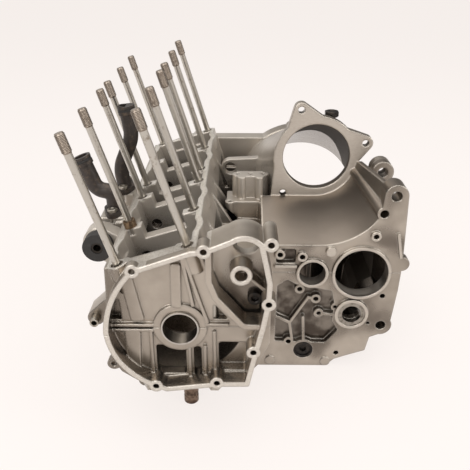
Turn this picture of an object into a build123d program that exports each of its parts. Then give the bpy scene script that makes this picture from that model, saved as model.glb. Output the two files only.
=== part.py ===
from build123d import *
import os
from math import cos, sin, radians

os.makedirs("parts", exist_ok=True)

# Axes: X from the exhaust side to the gearbox, Y along the crankshaft, Z up.
# Origin: the crankshaft axis, in the middle of the cam chain tunnel. Millimetres.

# Clearance of parts that are pressed or screwed into one another
fit = 0.1

# Cylinders and crankshaft
bore_pitch = 86.0
chain_tunnel = 43.0
cylinder_lean = 17.2
deck_height = 84.6
skirt_radius = 43.0
skirt_width = 80.0
rim_wall = 7.0
rim_depth = 16.0
rim_end = 9.0
scallop_width = 48.0
scallop_depth = 15.0
block_overhang = 12.0
bulkhead = 14.0
crank_chamber_radius = 66.0
main_bore = 39.0
main_boss = 55.0
main_boss_width = 22.0

# Studs
stud_rows = 72.7
stud_boss = 20.0
stud_case_size = 9.0
stud_relief = 12.6
stud_relief_depth = 3.0

# Walls of the two castings
wall = 6.0
end_wall = 12.0
front_x = -74.0
deck_reach = 47.0
shelf_z = 33.0
shelf_x = 92.0
end_overhang = 22.0
web_setback = 18.5

# Near cover face
band = 5.2
cover_screw = 6.4
cover_boss = 14.0
lip_setback = 6.5
boss_proud = 3.0
rib_proud = 4.0
rib_width = 3.2

# Starter idler pocket
pocket_depth = 33.5
pocket_back = 6.0
pocket_corner = 6.0
idler_post = (62.0, 62.6)
idler_post_size = 22.0
idler_bore = 12.4
starter_nose = (67.0, 90.0)
starter_nose_size = 28.0

# Gearbox
gearbox_y = -83.5
gearbox_wall = 15.0
plate = 12.0
rear_x = 244.0
input_shaft_x = 146.0
output_shaft_x = 204.0
output_bore = 62.6
output_boss = 69.6
input_bore = 31.0
input_boss = 38.0
partition_y = 82.0
partition_wall = 14.0
partition_input_bore = 52.0
partition_output_bore = 40.0

# Alternator housing
ring_x = 154.0
ring_z = 112.7
ring_y = 6.5
ring_plate = 11.0
ring_bore = 82.6
ring_rim = 102.0
ring_lug = 18.0
ring_bolt_radius = 62.0
ring_screw = 8.4
ring_angles = (109.5, 16.5, 230.1)
trough = 154.0
tube_hole = 8.0

# Rear frame mounts
mount_x = 235.4
mount_z = 97.1
mount_size = 27.0
mount_hole = 12.2
lug_width = 24.0

# Clutch side
clutch_x = 155.0
clutch_z = -12.0
clutch_bore = 168.0
clutch_rim_x = 150.0
clutch_rim = 196.0
crank_end_rim = 164.0
far_band = 7.0

# Lower casting
floor_z = -74.0
sump_z = -136.0
sump_front_x = -50.0
sump_far_y = 118.0
lower_mount_x = 234.1
lower_mount_z = -74.1
seal_x = 196.5
seal_z = -56.6
seal_boss = 41.0
post_setback = 12.5
rim_proud = 4.0
stud_in_case = 26.0
cover_screw_depth = 16.0
face_screw_depth = 14.0

band_corner = 3.0
upper_web_bands = [[(-57, 57), (-45, 60), (-35.6, 9), (-49, 7.6)], [(-7, 74), (3, 74), (2, 23), (-8, 26)]]
lower_web_bands = [[(-57, -4), (-40.5, -4), (-43, -60), (-56, -34)]]
upper_web_ribs = [[(4, 82), (14, 26)], [(7, 80), (28, 6)], [(16, 46), (28, 8)], [(26, 4), (50, 4)], [(-72, 3), (-27, 3)]]
lower_web_ribs = [[(-30, -3), (-30, -62)], [(9, -25), (9, -64)], [(25, -22), (25, -66)], [(35, -4), (35, -66)],
                  [(-72, -3), (-27, -3)]]
web_pocket_depth = 8.0
web_pockets = [[(-71.5, 8), (-59, 8), (-61, 34), (-68, 26)], [(34, 28), (34, 9), (50, 9)]]
web_windows = [(-26, 5, -23, -60), (13, 21, -25, -62), (39, 68, -19, -55)]

# Gearbox face
face_recess_depth = 8.0
face_recess = [(105, -19), (117, -10), (128, -16.5), (171, -25.5), (175, -42), (174, -68), (182, -82), (167, -101),
               (104, -99)]
face_recess_ribs = [[(121.8, -71.3), (142.9, -35.2), (152.4, -36.9)], [(137.9, -62.7), (140, -97)],
                    [(104, -62), (121.8, -71.3), (126, -97)], [(157, -57.4), (176, -60)]]
face_post = (157.0, -57.4)
upper_face_pocket = [(102.8, 31), (125.8, 31), (125.8, 12.5), (102.8, 12.5)]
upper_face_ribs = [[(241.8, 52.7), (248, 20.5)], [(101, 9.4), (127, 9.4)]]
upper_face_boss = (166.3, 28.8)
foot_bosses = [(98.9, -127), (169, -128.5)]
upper_face_screws = [(107.1, 25.0), (133.2, 22.2), (216.5, 48.9)]
face_screw_boss = 12.0
flange_bolt_size = 6.0
union_length = 22.0
dowel_depth = 8.0
collar_size = 21.0
collars = ((0.0, 3.0), (6.0, 10.0))
seal_screws = [(176.4, -48.1), (218.3, -71.2)]
lower_face_screws = [(132.3, -23.3), (152.4, -36.9), (232.3, -32.2), (121.4, -99.6), (182.3, -116.3)]
sump_screws = [(sump_front_x + 4, -77), (30, -77), (95, -77), (165, -77), (sump_front_x + 4, 20), (168, 20),
               (sump_front_x + 4, 112), (64, 112), (166, 112)]
lower_face_outline = [(84, 0), (84, -133), (90, -136), (166, -136), (172, -133), (178, -126.2), (218, -112), (222, -92),
                      (234, -87), (246, -66), (250, -24), (251, 0)]

# Crank block: breathing holes, gussets behind the deck, duct at the clutch side, breather block
breather_place = (-43.0, 37.0)
breather_hole = 13.0
gusset = 6.0
gusset_reach = 54.0
duct_y = 100.0
duct_depth = 12.0
duct_hole_place = (46.0, 64.0)
duct_hole = 17.0
duct_end = (100.0, 74.0)
block_posts = [(47, -2), (88, -2)]
block_pads = [(57, 19), (73, 19), (89, 19)]
block_screw = 5.5
block_post_z = 57.0
block_top_z = 86.0

# Screws round the clutch side rim, by angle about the crankshaft and about the clutch
far_screw = 5.2
far_screw_boss = 14.0
crank_end_angles = (95, 140, 215, 262)
clutch_angles = (98, 68, 32, -32, -68, -110)

# Front of the engine: mount bush, coolant pipes, hose union
bush_x = -94.0
bush_z = 55.0
bush_size = 31.8
bush_y = -132.0
bush_length = 13.0
bracket_y = bush_y + bush_length
bracket_width = 20.0
bush_spigot = 20.0
sleeve_size = 13.0
sleeve_bore = 8.4
pipe_size = 18.0
pipe_bore = 14.5
pad_height = 12.0
flange_thickness = 6.0
side_pipe_y = -66.0
side_pipe_x = -85.0
side_pad_z = 70.0
centre_pipe_y = 0.0
centre_pipe_x = -84.0
centre_pad_z = 72.0
flange_bolt_gap = 30.0
union_x = -85.5
union_z = 9.0
union_end_y = -206.0
union_size = 9.0
union_hole = 5.6

# Front shelf, lug and foot of the lower casting
front_shelf = [(-103, 61), (front_x + 2, 66), (front_x + 6, 26), (front_x, 26), (-103, 48)]
front_shelf_near = -86.0
front_shelf_far = -46.0
front_lug = (-72.0, -48.0)
front_lug_size = 14.0
front_lug_hole = 6.0
front_foot = (-40.0, -70.0)

# Studs and fasteners
stud_length = 138.0
stud_thread = 19.0
stud_size = 8.0
stud_thread_size = 10.0
dowel_size = 13.8
case_bolt_x = 34.0
case_bolt_size = 9.0
case_bolt_grip = 28.0
case_bolt_head = 14.0
case_bolt_head_height = 8.0
case_dowel_size = 13.0
case_dowel_length = 14.0
rear_bolt_x = 252.0
rear_bolt_size = 8.0
rear_bolt_head = 12.0
rear_lug = 18.0
rear_lug_height = 14.0
rear_bolt_planes = (-48.0, 8.0, 62.0)
ring_bolt_x = 172.5
ring_bolt_y = 28.5
ring_bolt_boss_z = 153.0
ring_bolt_size = 10.0
ring_bolt_head = 16.0
shell_wall = 1.8
shell_width = 18.0
gallery_plug_x = 76.0
gallery_plug_z = 28.0
gallery_plug_size = 15.0
gallery_plug_height = 7.0
face_plug_x = 140.4
face_plug_z = -112.0
face_plug_size = 24.0
face_plug_depth = 9.0
seal_size = 33.0
seal_bore = 23.0
seal_width = 7.0
valve_x = 4.0
valve_y = -150.5
valve_size = 17.0

# Derived places
half_tunnel = chain_tunnel / 2
main_planes = [half_tunnel + n * bore_pitch for n in (0, 1, 2)]
main_planes = [-y for y in reversed(main_planes)] + main_planes
end_main = main_planes[-1]
cover_y = -(end_main + end_overhang)
web_y = cover_y + web_setback
far_y = -cover_y
far_web_y = -web_y
bays = [(main_planes[i], main_planes[i + 1]) for i in range(5)]
lean = radians(cylinder_lean)
ring_back_y = ring_y + ring_plate


end_bolt_y = far_web_y - end_wall / 2
bolt_planes = [-end_bolt_y] + main_planes[1:-1] + [end_bolt_y]
case_bolts = [(x, y) for x in (-case_bolt_x, case_bolt_x) for y in bolt_planes]
case_dowel_places = [(x, y) for x in (-case_bolt_x, case_bolt_x) for y in (main_planes[1], main_planes[-2])]

far_screws = [((crank_end_rim - far_band) / 2 * cos(radians(a)), (crank_end_rim - far_band) / 2 * sin(radians(a)))
              for a in crank_end_angles]
far_screws += [(clutch_rim_x + (clutch_rim - far_band) / 2 * cos(radians(a)),
                (clutch_rim - far_band) / 2 * sin(radians(a))) for a in clutch_angles]


def side(y):
    """Upright plane across the crankshaft at this Y, with X and Z as its own axes."""
    return Plane.XZ.offset(-y)


def deck_point(across, below=0.0):
    """X and Z of a place so far across the deck from the cylinder axis, and so far below it."""
    up = deck_height - below
    return (across * cos(lean) - up * sin(lean), across * sin(lean) + up * cos(lean))


deck_x, deck_z = deck_point(0)
deck = Plane(origin=(deck_x, 0, deck_z), x_dir=(cos(lean), 0, sin(lean)), z_dir=(-sin(lean), 0, cos(lean)))

cover_screws = [(-41.7, 73.4), (26.6, 94.5), (89.7, 101.9), (88.9, 37.4), (74.6, -19.1),
                (37.3, -58.1), (-25.8, -62.4)]


def cover_outline(grow=0.0):
    """Face inside the mid line of the near cover flange, grown or shrunk."""
    with BuildSketch() as face:
        with BuildLine():
            top = Polyline((-43, 72), (14, 92.5), (28, 94), (52, 104.5))
            arch = ThreePointArc(top @ 1, (67, 108.5), (81, 101))
            right = Polyline(arch @ 1, (86, 78), (89.5, 60), (88.5, 38), (84, 12), (78, -15),
                             (68.5, -59.5), (38, -60), (-15, -66.5), (-25, -62))
            low = ThreePointArc(right @ 1, (-58, -36.5), (-72.3, 4))
            ThreePointArc(low @ 1, (-64, 40), top @ 0)
        make_face()
        offset(amount=grow)
    return face.sketch


def idler_zone(grow=0.0):
    """Face of the starter idler pocket inside the flange, with its dividing wall to the left and below."""
    with BuildSketch() as face:
        with BuildLine():
            Polyline((33.5, 120), (33.5, 59), (40, 41), (66, 10), (120, 9), (120, 120), close=True)
        make_face()
        fillet(face.vertices(), pocket_corner)
        if grow:
            offset(amount=grow)
        add(cover_outline(-band / 2), mode=Mode.INTERSECT)
    return face.sketch


def bay_inside(start, end):
    """Y range between the bulkheads of one bay."""
    first = web_y + end_wall if start == main_planes[0] else start + bulkhead / 2
    last = far_web_y - end_wall if end == main_planes[-1] else end - bulkhead / 2
    return first, last


def trough_point(y, angle, grow=0.0):
    """X and Z on the alternator trough at this Y and angle round the alternator axis."""
    share = (y - gearbox_y) / (ring_y - gearbox_y)
    radius = (trough + (ring_rim - trough) * share) / 2 + grow
    return (ring_x + radius * cos(radians(angle)), ring_z + radius * sin(radians(angle)))


def gearbox_roof(y):
    """Outer section of the upper gearbox at this Y, under and behind the alternator trough."""
    bar = trough_point(y, -6)
    with BuildSketch(side(y)) as face:
        with BuildLine():
            low = trough_point(y, -90)
            Polyline((shelf_x - wall, 0), (shelf_x - wall, low[1]), low)
            ThreePointArc(low, trough_point(y, -57), trough_point(y, -24))
            Polyline(trough_point(y, -24), bar, (bar[0] + wall, bar[1]), (bar[0] + wall, 62),
                     (rear_x, 30), (rear_x, 0), (shelf_x - wall, 0))
        make_face()
    return face.sketch


def gearbox_room(y):
    """Hollow section of the upper gearbox at this Y."""
    return side(y) * room_face(y)


def room_face(y):
    """The hollow section in its own plane."""
    low = trough_point(y, -90, wall)
    end = trough_point(y, -34, wall)
    with BuildSketch() as face:
        with BuildLine():
            Polyline((shelf_x, 0), (shelf_x, low[1]), low)
            ThreePointArc(low, trough_point(y, -60, wall), end)
            Polyline(end, (rear_x - wall, 28), (rear_x - wall, 0), (shelf_x, 0))
        make_face()
    return face.sketch


def housing(y, left, left_z, top, right, right_z, rear):
    """Section of the housing between the alternator ring and the clutch side."""
    with BuildSketch(side(y)) as face:
        with BuildLine():
            Polyline((left[0], 0), (left[1], left_z))
            ThreePointArc((left[1], left_z), top, (right, right_z))
            Polyline((right, right_z), rear, (rear[0], 0), (left[0], 0))
        make_face()
    return face.sketch


def far_outline(grow=0.0):
    """Face inside the rim of the clutch side."""
    with BuildSketch() as face:
        Circle(crank_end_rim / 2 + grow)
        with Locations((clutch_rim_x, 0)):
            Circle(clutch_rim / 2 + grow)
        with Locations((clutch_rim_x / 2, 0)):
            Rectangle(clutch_rim_x, crank_end_rim - 2 + 2 * grow)
    return face.sketch


def strips(paths, width):
    """Faces of ribs of one width along the given lines."""
    with BuildSketch() as face:
        for path in paths:
            with BuildLine():
                Polyline(*path)
            trace(line_width=width)
    return face.sketch


def bands(outlines, corner):
    """Faces with soft corners inside the given outlines."""
    with BuildSketch() as face:
        for outline in outlines:
            with BuildLine():
                Polyline(*outline, close=True)
            make_face()
        fillet(face.vertices(), corner)
    return face.sketch


def lug(at, size, root, root_size):
    """Rounded ear from a root circle to a hole."""
    with BuildSketch() as face:
        with Locations(at):
            Circle(size / 2)
        with Locations(root):
            Circle(root_size / 2)
        make_hull()
    return face.sketch


with BuildPart() as bores:
    with BuildSketch(side(web_y - 2 * boss_proud)):
        Circle(main_bore / 2)
    extrude(amount=2 * web_y - 4 * boss_proud)
    with BuildSketch(side(gearbox_y - rim_proud)):
        with Locations((output_shaft_x, 0)):
            Circle(output_bore / 2)
        with Locations((input_shaft_x, 0)):
            Circle(input_bore / 2)
    extrude(amount=-rim_proud - gearbox_wall)
    with BuildSketch(side(partition_y)):
        with Locations((input_shaft_x, 0)):
            Circle(partition_input_bore / 2)
        with Locations((output_shaft_x, 0)):
            Circle(partition_output_bore / 2)
    extrude(amount=-partition_wall)

with BuildPart() as bearing_bosses:
    for y in main_planes:
        near_face = max(y - main_boss_width / 2, web_y - boss_proud)
        far_face = min(y + main_boss_width / 2, far_web_y + boss_proud)
        with BuildSketch(side(near_face)):
            Circle(main_boss / 2)
        extrude(amount=near_face - far_face)
    with BuildSketch(side(gearbox_y - rim_proud)):
        with Locations((output_shaft_x, 0)):
            Circle(output_boss / 2)
        with Locations((input_shaft_x, 0)):
            Circle(input_boss / 2)
    extrude(amount=-rim_proud - gearbox_wall)

with BuildPart() as far_bosses:
    with BuildSketch(side(far_web_y)):
        with Locations(*far_screws):
            Circle(far_screw_boss / 2)
    extrude(amount=-(far_y - far_web_y))

with BuildPart() as far_holes:
    with BuildSketch(side(far_y - 12)):
        with Locations(*far_screws):
            Circle(far_screw / 2)
    extrude(amount=-12)

with BuildPart() as crank_space:
    for start, end in bays:
        first, last = bay_inside(start, end)
        with BuildSketch(side(first)):
            Circle(crank_chamber_radius)
        extrude(amount=first - last)
    with BuildSketch(side(web_y + end_wall)):
        with Locations((shelf_x - wall - 14, 0)):
            Rectangle(28, 2 * (shelf_z - wall))
    extrude(amount=2 * (web_y + end_wall))

with BuildPart() as upper:
    # Crank block with the shelf behind it
    with BuildSketch(side(web_y)):
        with BuildLine():
            Polyline((front_x, 0), (front_x + 2, deck_point(-deck_reach)[1]), deck_point(-deck_reach),
                     deck_point(deck_reach), deck_point(deck_reach, 62), (shelf_x, shelf_z), (shelf_x, 0),
                     close=True)
        make_face()
    extrude(amount=2 * web_y)
    # Wavy rim of the head side
    with BuildSketch(deck):
        with Locations(*[(0, (start + end) / 2) for start, end in bays if end - start > chain_tunnel]):
            Circle(skirt_radius + rim_wall)
        for row in (-1, 1):
            with Locations(*[(row * stud_rows / 2, y) for y in main_planes]):
                Circle(stud_boss / 2)
        Rectangle(stud_rows + stud_boss, chain_tunnel)
    extrude(amount=-rim_depth)
    # Near cover flange and starter housing
    with BuildSketch(side(cover_y)):
        add(cover_outline(band / 2))
    extrude(amount=-web_setback)
    with BuildSketch(side(cover_y)):
        add(cover_outline(band / 2))
        with Locations((64, 72)):
            Rectangle(72, 90, mode=Mode.INTERSECT)
        with Locations(cover_screws[2]):
            Circle(cover_boss / 2)
    extrude(amount=-(pocket_depth + pocket_back))
    with BuildSketch(side(cover_y)):
        with Locations(*cover_screws[:4]):
            Circle(cover_boss / 2)
    extrude(amount=-web_setback)
    # Gearbox roof and near wall
    loft(sections=[gearbox_roof(gearbox_y), gearbox_roof(ring_y)])
    with BuildSketch(side(gearbox_y)):
        with BuildLine():
            corner = trough_point(gearbox_y, -24)
            arc_start = trough_point(gearbox_y, -90)
            Polyline((shelf_x - wall, 0), (shelf_x - wall, arc_start[1]), arc_start)
            ThreePointArc(arc_start, trough_point(gearbox_y, -57), corner)
            Polyline(corner, (226, 104), (mount_x, mount_z + mount_size / 2), (mount_x + mount_size / 2, mount_z),
                     (251, 24), (251, 0), (shelf_x - wall, 0))
        make_face()
        with Locations((mount_x, mount_z)):
            Circle(mount_size / 2)
        with Locations((250.6, 11.3)):
            Circle(9)
    extrude(amount=-plate)
    # Alternator ring plate and the housing behind it
    with BuildSketch(side(ring_y)):
        with Locations((ring_x, ring_z)):
            Circle(ring_rim / 2)
    extrude(amount=-ring_plate)
    for angle in ring_angles:
        with BuildSketch(side(ring_y)):
            ear = (ring_x + ring_bolt_radius * cos(radians(angle)), ring_z + ring_bolt_radius * sin(radians(angle)))
            add(lug(ear, ring_lug, (ring_x, ring_z), ring_rim - 2 * wall))
        extrude(amount=-ring_plate)
    loft(sections=[housing(ring_y, (94, 102), 100, (ring_x, ring_z + ring_rim / 2 - 2), 204, 100, (rear_x, 90)),
                   housing(far_web_y, (56, 60), 28, (clutch_rim_x, clutch_rim / 2 - 4), rear_x - 4, 26,
                           (rear_x, 18))])
    # Clutch side rim
    with BuildSketch(side(far_web_y - wall)):
        add(far_outline())
    extrude(amount=-(far_y - far_web_y + wall))
    # Rear mount lugs
    for y in (gearbox_y, ring_y - lug_width / 2):
        with BuildSketch(side(y)):
            add(lug((mount_x, mount_z), mount_size, (mount_x - 6, mount_z - 36), 20))
        extrude(amount=-lug_width)
    # Breather block with its posts
    with BuildSketch(Plane.XY.offset(shelf_z - wall)):
        with Locations((68, 14)):
            Rectangle(50, 36)
        with Locations(*block_posts):
            Circle(block_screw + 0.5)
    extrude(amount=block_post_z - shelf_z + wall)
    with BuildSketch(Plane.XY.offset(block_post_z)):
        with Locations((73, 19)):
            Rectangle(34, 20)
        with Locations(*block_pads):
            Circle(block_screw + 1.5)
        with Locations((62, 9), (84, 9)):
            Circle(block_screw)
    extrude(amount=block_top_z - block_post_z)
    # Gussets behind the deck and the duct at the clutch side
    for y in main_planes[1:-1]:
        with BuildSketch(side(y - gusset / 2)):
            with BuildLine():
                Polyline(deck_point(deck_reach - 3, 5), (gusset_reach, shelf_z - 2), (0, shelf_z - 2), close=True)
            make_face()
        extrude(amount=-gusset)
    with BuildSketch(side(duct_y)):
        with Locations(duct_hole_place):
            Circle(duct_hole / 2 + 4.5)
        with Locations(duct_end):
            Circle(wall)
        with Locations(((duct_hole_place[0] + duct_end[0]) / 2, shelf_z)):
            Rectangle(duct_end[0] - duct_hole_place[0], wall)
        make_hull()
    extrude(amount=-duct_depth)
    with BuildSketch(side(front_shelf_near)):
        add(bands([front_shelf], band_corner))
    extrude(amount=front_shelf_near - front_shelf_far)
    # Front bracket, pipe pads and hose boss
    with BuildSketch(side(bracket_y)):
        with Locations((bush_x, bush_z)):
            Circle(bush_size / 2 + 2)
        with Locations((front_x + 6, bush_z - 14)):
            Rectangle(8, 36)
        make_hull()
    extrude(amount=-bracket_width)
    for pad_x, pad_y, pad_z in ((side_pipe_x, side_pipe_y, side_pad_z), (centre_pipe_x, centre_pipe_y, centre_pad_z)):
        with BuildSketch(side(pad_y - pipe_size)):
            with BuildLine():
                Polyline((pad_x - pipe_size / 2 - 5, pad_z), (front_x + 2, pad_z), (front_x + 6, pad_z - 44),
                         (front_x, pad_z - 44), (pad_x - pipe_size / 2 - 5, pad_z - pad_height), close=True)
            make_face()
        extrude(amount=-2 * pipe_size)
    with BuildSketch(side(union_end_y + 10)):
        add(lug((union_x, union_z), union_size + 2 * wall - 4, (front_x + 2, union_z + 16), 12))
    extrude(amount=-24)
    # Boss for the hex bolt behind the alternator ring, and the oil gallery beside the trough
    with BuildSketch(Plane.XY.offset(ring_bolt_boss_z)):
        with Locations((ring_bolt_x, ring_bolt_y)):
            Circle(ring_bolt_head / 2)
    extrude(amount=-24)
    with BuildSketch(side(gearbox_y)):
        with Locations(trough_point(gearbox_y, -28, 2)):
            Circle(tube_hole)
    with BuildSketch(side(ring_y)):
        with Locations(trough_point(ring_y, -22, 2)):
            Circle(tube_hole - 2)
    loft()
    for y in rear_bolt_planes:
        with BuildSketch(Plane.XY):
            with Locations((rear_bolt_x, y)):
                Circle(rear_lug / 2)
            with Locations((rear_x - 3, y)):
                Rectangle(6, rear_lug)
            make_hull()
        extrude(amount=rear_lug_height)

    # Hollows: skirts, chambers, gearbox, housing, covers
    for start, end in bays:
        first, last = bay_inside(start, end)
        with BuildSketch(deck):
            with Locations((0, (first + last) / 2)):
                Rectangle(skirt_width, last - first)
        extrude(amount=-deck_height, mode=Mode.SUBTRACT)
    add(crank_space.part, mode=Mode.SUBTRACT)
    with BuildSketch(deck):
        with Locations(*[(0, (start + end) / 2) for start, end in bays if end - start > chain_tunnel]):
            Circle(skirt_radius)
        Rectangle(scallop_width, 2 * end_main)
        Rectangle(2 * deck_height, 2 * (far_web_y - rim_end), mode=Mode.INTERSECT)
    extrude(amount=-scallop_depth, mode=Mode.SUBTRACT)
    loft(sections=[gearbox_room(gearbox_y + plate), gearbox_room(ring_y)], mode=Mode.SUBTRACT)
    with BuildSketch(side(ring_y)):
        add(room_face(ring_y))
    extrude(amount=-ring_plate, mode=Mode.SUBTRACT)
    loft(sections=[housing(ring_back_y, (104, 110), 100, (ring_x, ring_z + ring_rim / 2 - 8), 198, 100,
                           (rear_x - wall, 84)),
                   housing(far_web_y, (71, 73), 10, (clutch_x, clutch_z + clutch_bore / 2), rear_x - 12, 10,
                           (rear_x - wall, 6))], mode=Mode.SUBTRACT)
    with BuildSketch(side(ring_y)):
        with Locations((ring_x, ring_z)):
            Circle(ring_bore / 2)
    extrude(amount=-(ring_plate + 8), mode=Mode.SUBTRACT)
    with BuildSketch(side(far_web_y)):
        add(far_outline(-far_band))
    extrude(amount=-(far_y - far_web_y), mode=Mode.SUBTRACT)
    with BuildSketch(side(gearbox_y)):
        add(bands([upper_face_pocket], band_corner))
    extrude(amount=-face_recess_depth, mode=Mode.SUBTRACT)
    with BuildSketch(side(cover_y)):
        add(cover_outline(-band / 2))
    extrude(amount=-lip_setback, mode=Mode.SUBTRACT)
    with BuildSketch(side(cover_y)):
        add(cover_outline(-band / 2))
        add(idler_zone(wall), mode=Mode.SUBTRACT)
    extrude(amount=-web_setback, mode=Mode.SUBTRACT)
    with BuildSketch(side(cover_y)):
        add(idler_zone())
    extrude(amount=-pocket_depth, mode=Mode.SUBTRACT)
    # Back wall of the idler pocket, its post and rib
    with BuildSketch(side(cover_y + pocket_depth)):
        add(idler_zone(wall))
    extrude(amount=-pocket_back)
    with BuildSketch(side(cover_y + pocket_depth)):
        with Locations(starter_nose):
            Circle(starter_nose_size / 2 + 4)
    extrude(amount=-2 * pocket_back)
    with BuildSketch(side(cover_y + post_setback)):
        with Locations(idler_post):
            Circle(idler_post_size / 2)
    extrude(amount=post_setback - pocket_depth)
    with BuildSketch(side(cover_y + pocket_depth - 14)):
        add(strips([[idler_post, (88, 40)]], rib_width))
    extrude(amount=-14)
    # Screw bosses of the cover and the stud columns, put back inside the hollows
    with BuildSketch(side(cover_y)):
        with Locations(*cover_screws[:4]):
            Circle(cover_boss / 2)
    extrude(amount=-web_setback)
    with BuildSketch(deck):
        for row in (-1, 1):
            with Locations(*[(row * stud_rows / 2, y) for y in (-end_main, end_main)]):
                Circle(stud_boss / 2 - 2)
    extrude(amount=-stud_in_case - 4)
    # Bands, ribs and pockets of the near web
    with BuildSketch(side(web_y - rib_proud)):
        add(strips(upper_web_ribs, rib_width))
        add(bands(upper_web_bands, band_corner))
        add(cover_outline(), mode=Mode.INTERSECT)
    extrude(amount=-rib_proud - 1)
    with BuildSketch(side(web_y)):
        add(bands(web_pockets, rib_width / 2))
    extrude(amount=-web_pocket_depth, mode=Mode.SUBTRACT)
    # Ribs and screw bosses of the gearbox face
    with BuildSketch(side(gearbox_y - rim_proud)):
        add(strips(upper_face_ribs, rib_width))
        with Locations(upper_face_boss, *upper_face_screws):
            Circle(face_screw_boss / 2)
    extrude(amount=-rim_proud - plate)
    # Main bearings and the bosses of the clutch side rim
    add(bearing_bosses.part)
    add(far_bosses.part)
    with BuildSketch(side(partition_y)):
        with Locations((input_shaft_x, 0)):
            Circle(partition_input_bore / 2 + wall)
        with Locations((output_shaft_x, 0)):
            Circle(partition_output_bore / 2 + wall)
        with Locations(((shelf_x + rear_x) / 2, 0)):
            Rectangle(rear_x - shelf_x + 4, 40)
    extrude(amount=-partition_wall)
    with BuildSketch(deck):
        Rectangle(2 * deck_reach, 2 * (end_main + block_overhang))
    extrude(amount=rim_depth, mode=Mode.SUBTRACT)
    # Split at the crankshaft axis
    split(bisect_by=Plane.XY, keep=Keep.TOP)
    # Bores and holes
    add(bores.part, mode=Mode.SUBTRACT)
    with BuildSketch(deck):
        for row in (-1, 1):
            with Locations(*[(row * stud_rows / 2, y) for y in main_planes]):
                Circle(stud_case_size / 2 + fit)
    extrude(amount=-stud_in_case, mode=Mode.SUBTRACT)
    with BuildSketch(deck):
        for row in (-1, 1):
            with Locations(*[(row * stud_rows / 2, y) for y in main_planes]):
                Circle(stud_relief / 2)
    extrude(amount=-stud_relief_depth, mode=Mode.SUBTRACT)
    with BuildSketch(side(main_planes[1] - bulkhead)):
        with Locations(breather_place):
            Circle(breather_hole / 2)
    extrude(amount=2 * (main_planes[1] - bulkhead), mode=Mode.SUBTRACT)
    add(far_holes.part, mode=Mode.SUBTRACT)
    with BuildSketch(side(duct_y)):
        with Locations(duct_hole_place):
            Circle(duct_hole / 2)
    extrude(amount=-duct_depth, mode=Mode.SUBTRACT)
    with BuildSketch(Plane.XY.offset(block_post_z)):
        with Locations(*block_posts):
            Circle(block_screw / 2)
    extrude(amount=-duct_depth, mode=Mode.SUBTRACT)
    with BuildSketch(Plane.XY.offset(block_top_z)):
        with Locations(*block_pads):
            Circle(block_screw / 2)
    extrude(amount=-duct_depth, mode=Mode.SUBTRACT)
    with BuildSketch(side(cover_y)):
        with Locations(*cover_screws[:4]):
            Circle(cover_screw / 2)
    extrude(amount=-cover_screw_depth, mode=Mode.SUBTRACT)
    with BuildSketch(side(cover_y)):
        with Locations(idler_post):
            Circle(idler_bore / 2)
    extrude(amount=-pocket_depth + 4, mode=Mode.SUBTRACT)
    with BuildSketch(side(cover_y + pocket_depth)):
        with Locations(starter_nose):
            Circle(starter_nose_size / 2)
    extrude(amount=-2 * pocket_back, mode=Mode.SUBTRACT)
    with BuildSketch(side(ring_y)):
        for angle in ring_angles:
            with Locations((ring_x + ring_bolt_radius * cos(radians(angle)),
                            ring_z + ring_bolt_radius * sin(radians(angle)))):
                Circle(ring_screw / 2)
    extrude(amount=-ring_plate, mode=Mode.SUBTRACT)
    with BuildSketch(side(gearbox_y - 1)):
        with Locations((mount_x, mount_z)):
            Circle(mount_hole / 2)
    extrude(amount=-ring_y + gearbox_y - 1 - lug_width, mode=Mode.SUBTRACT)
    with BuildSketch(side(gearbox_y - rim_proud)):
        with Locations(*upper_face_screws):
            Circle(cover_screw / 2)
    extrude(amount=-face_screw_depth, mode=Mode.SUBTRACT)

    with BuildSketch(side(bracket_y)):
        with Locations((bush_x, bush_z)):
            Circle(bush_spigot / 2)
    extrude(amount=-bracket_width, mode=Mode.SUBTRACT)
    for pad_x, pad_y, pad_z in ((side_pipe_x, side_pipe_y, side_pad_z), (centre_pipe_x, centre_pipe_y, centre_pad_z)):
        with BuildSketch(Plane.XY.offset(pad_z)):
            with Locations((pad_x, pad_y)):
                Circle(pipe_bore / 2)
                with Locations((0, flange_bolt_gap / 2), (0, -flange_bolt_gap / 2)):
                    Circle(flange_bolt_size / 2 + fit)
        extrude(amount=-pad_height + 2, mode=Mode.SUBTRACT)
    with BuildSketch(side(union_end_y)):
        with Locations((union_x, union_z)):
            Circle(union_size / 2 + fit)
    extrude(amount=-union_length, mode=Mode.SUBTRACT)
    with BuildSketch(Plane.XY.offset(ring_bolt_boss_z)):
        with Locations((ring_bolt_x, ring_bolt_y)):
            Circle(ring_bolt_size / 2 + fit)
    extrude(amount=-16, mode=Mode.SUBTRACT)
    with BuildSketch(side(gearbox_y - 1)):
        with Locations(trough_point(gearbox_y, -28, 2)):
            Circle(tube_hole / 2 + 1)
    extrude(amount=-30, mode=Mode.SUBTRACT)
    with BuildSketch(side(cover_y + pocket_depth)):
        with Locations((gallery_plug_x, gallery_plug_z)):
            Circle(gallery_plug_size / 2 - 2 + fit)
    extrude(amount=-pocket_back, mode=Mode.SUBTRACT)
    with BuildSketch(Plane.XY):
        with Locations(*case_bolts):
            Circle(case_bolt_size / 2 + fit)
        with Locations(*[(rear_bolt_x, y) for y in rear_bolt_planes]):
            Circle(rear_bolt_size / 2 + fit)
    extrude(amount=case_bolt_grip, mode=Mode.SUBTRACT)
    with BuildSketch(Plane.XY):
        with Locations(*case_dowel_places):
            Circle(case_dowel_size / 2 + fit)
    extrude(amount=case_dowel_length / 2, mode=Mode.SUBTRACT)
    with BuildSketch(deck):
        with Locations((-stud_rows / 2, main_planes[1])):
            Circle(dowel_size / 2 + fit)
    extrude(amount=-dowel_depth, mode=Mode.SUBTRACT)

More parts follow.
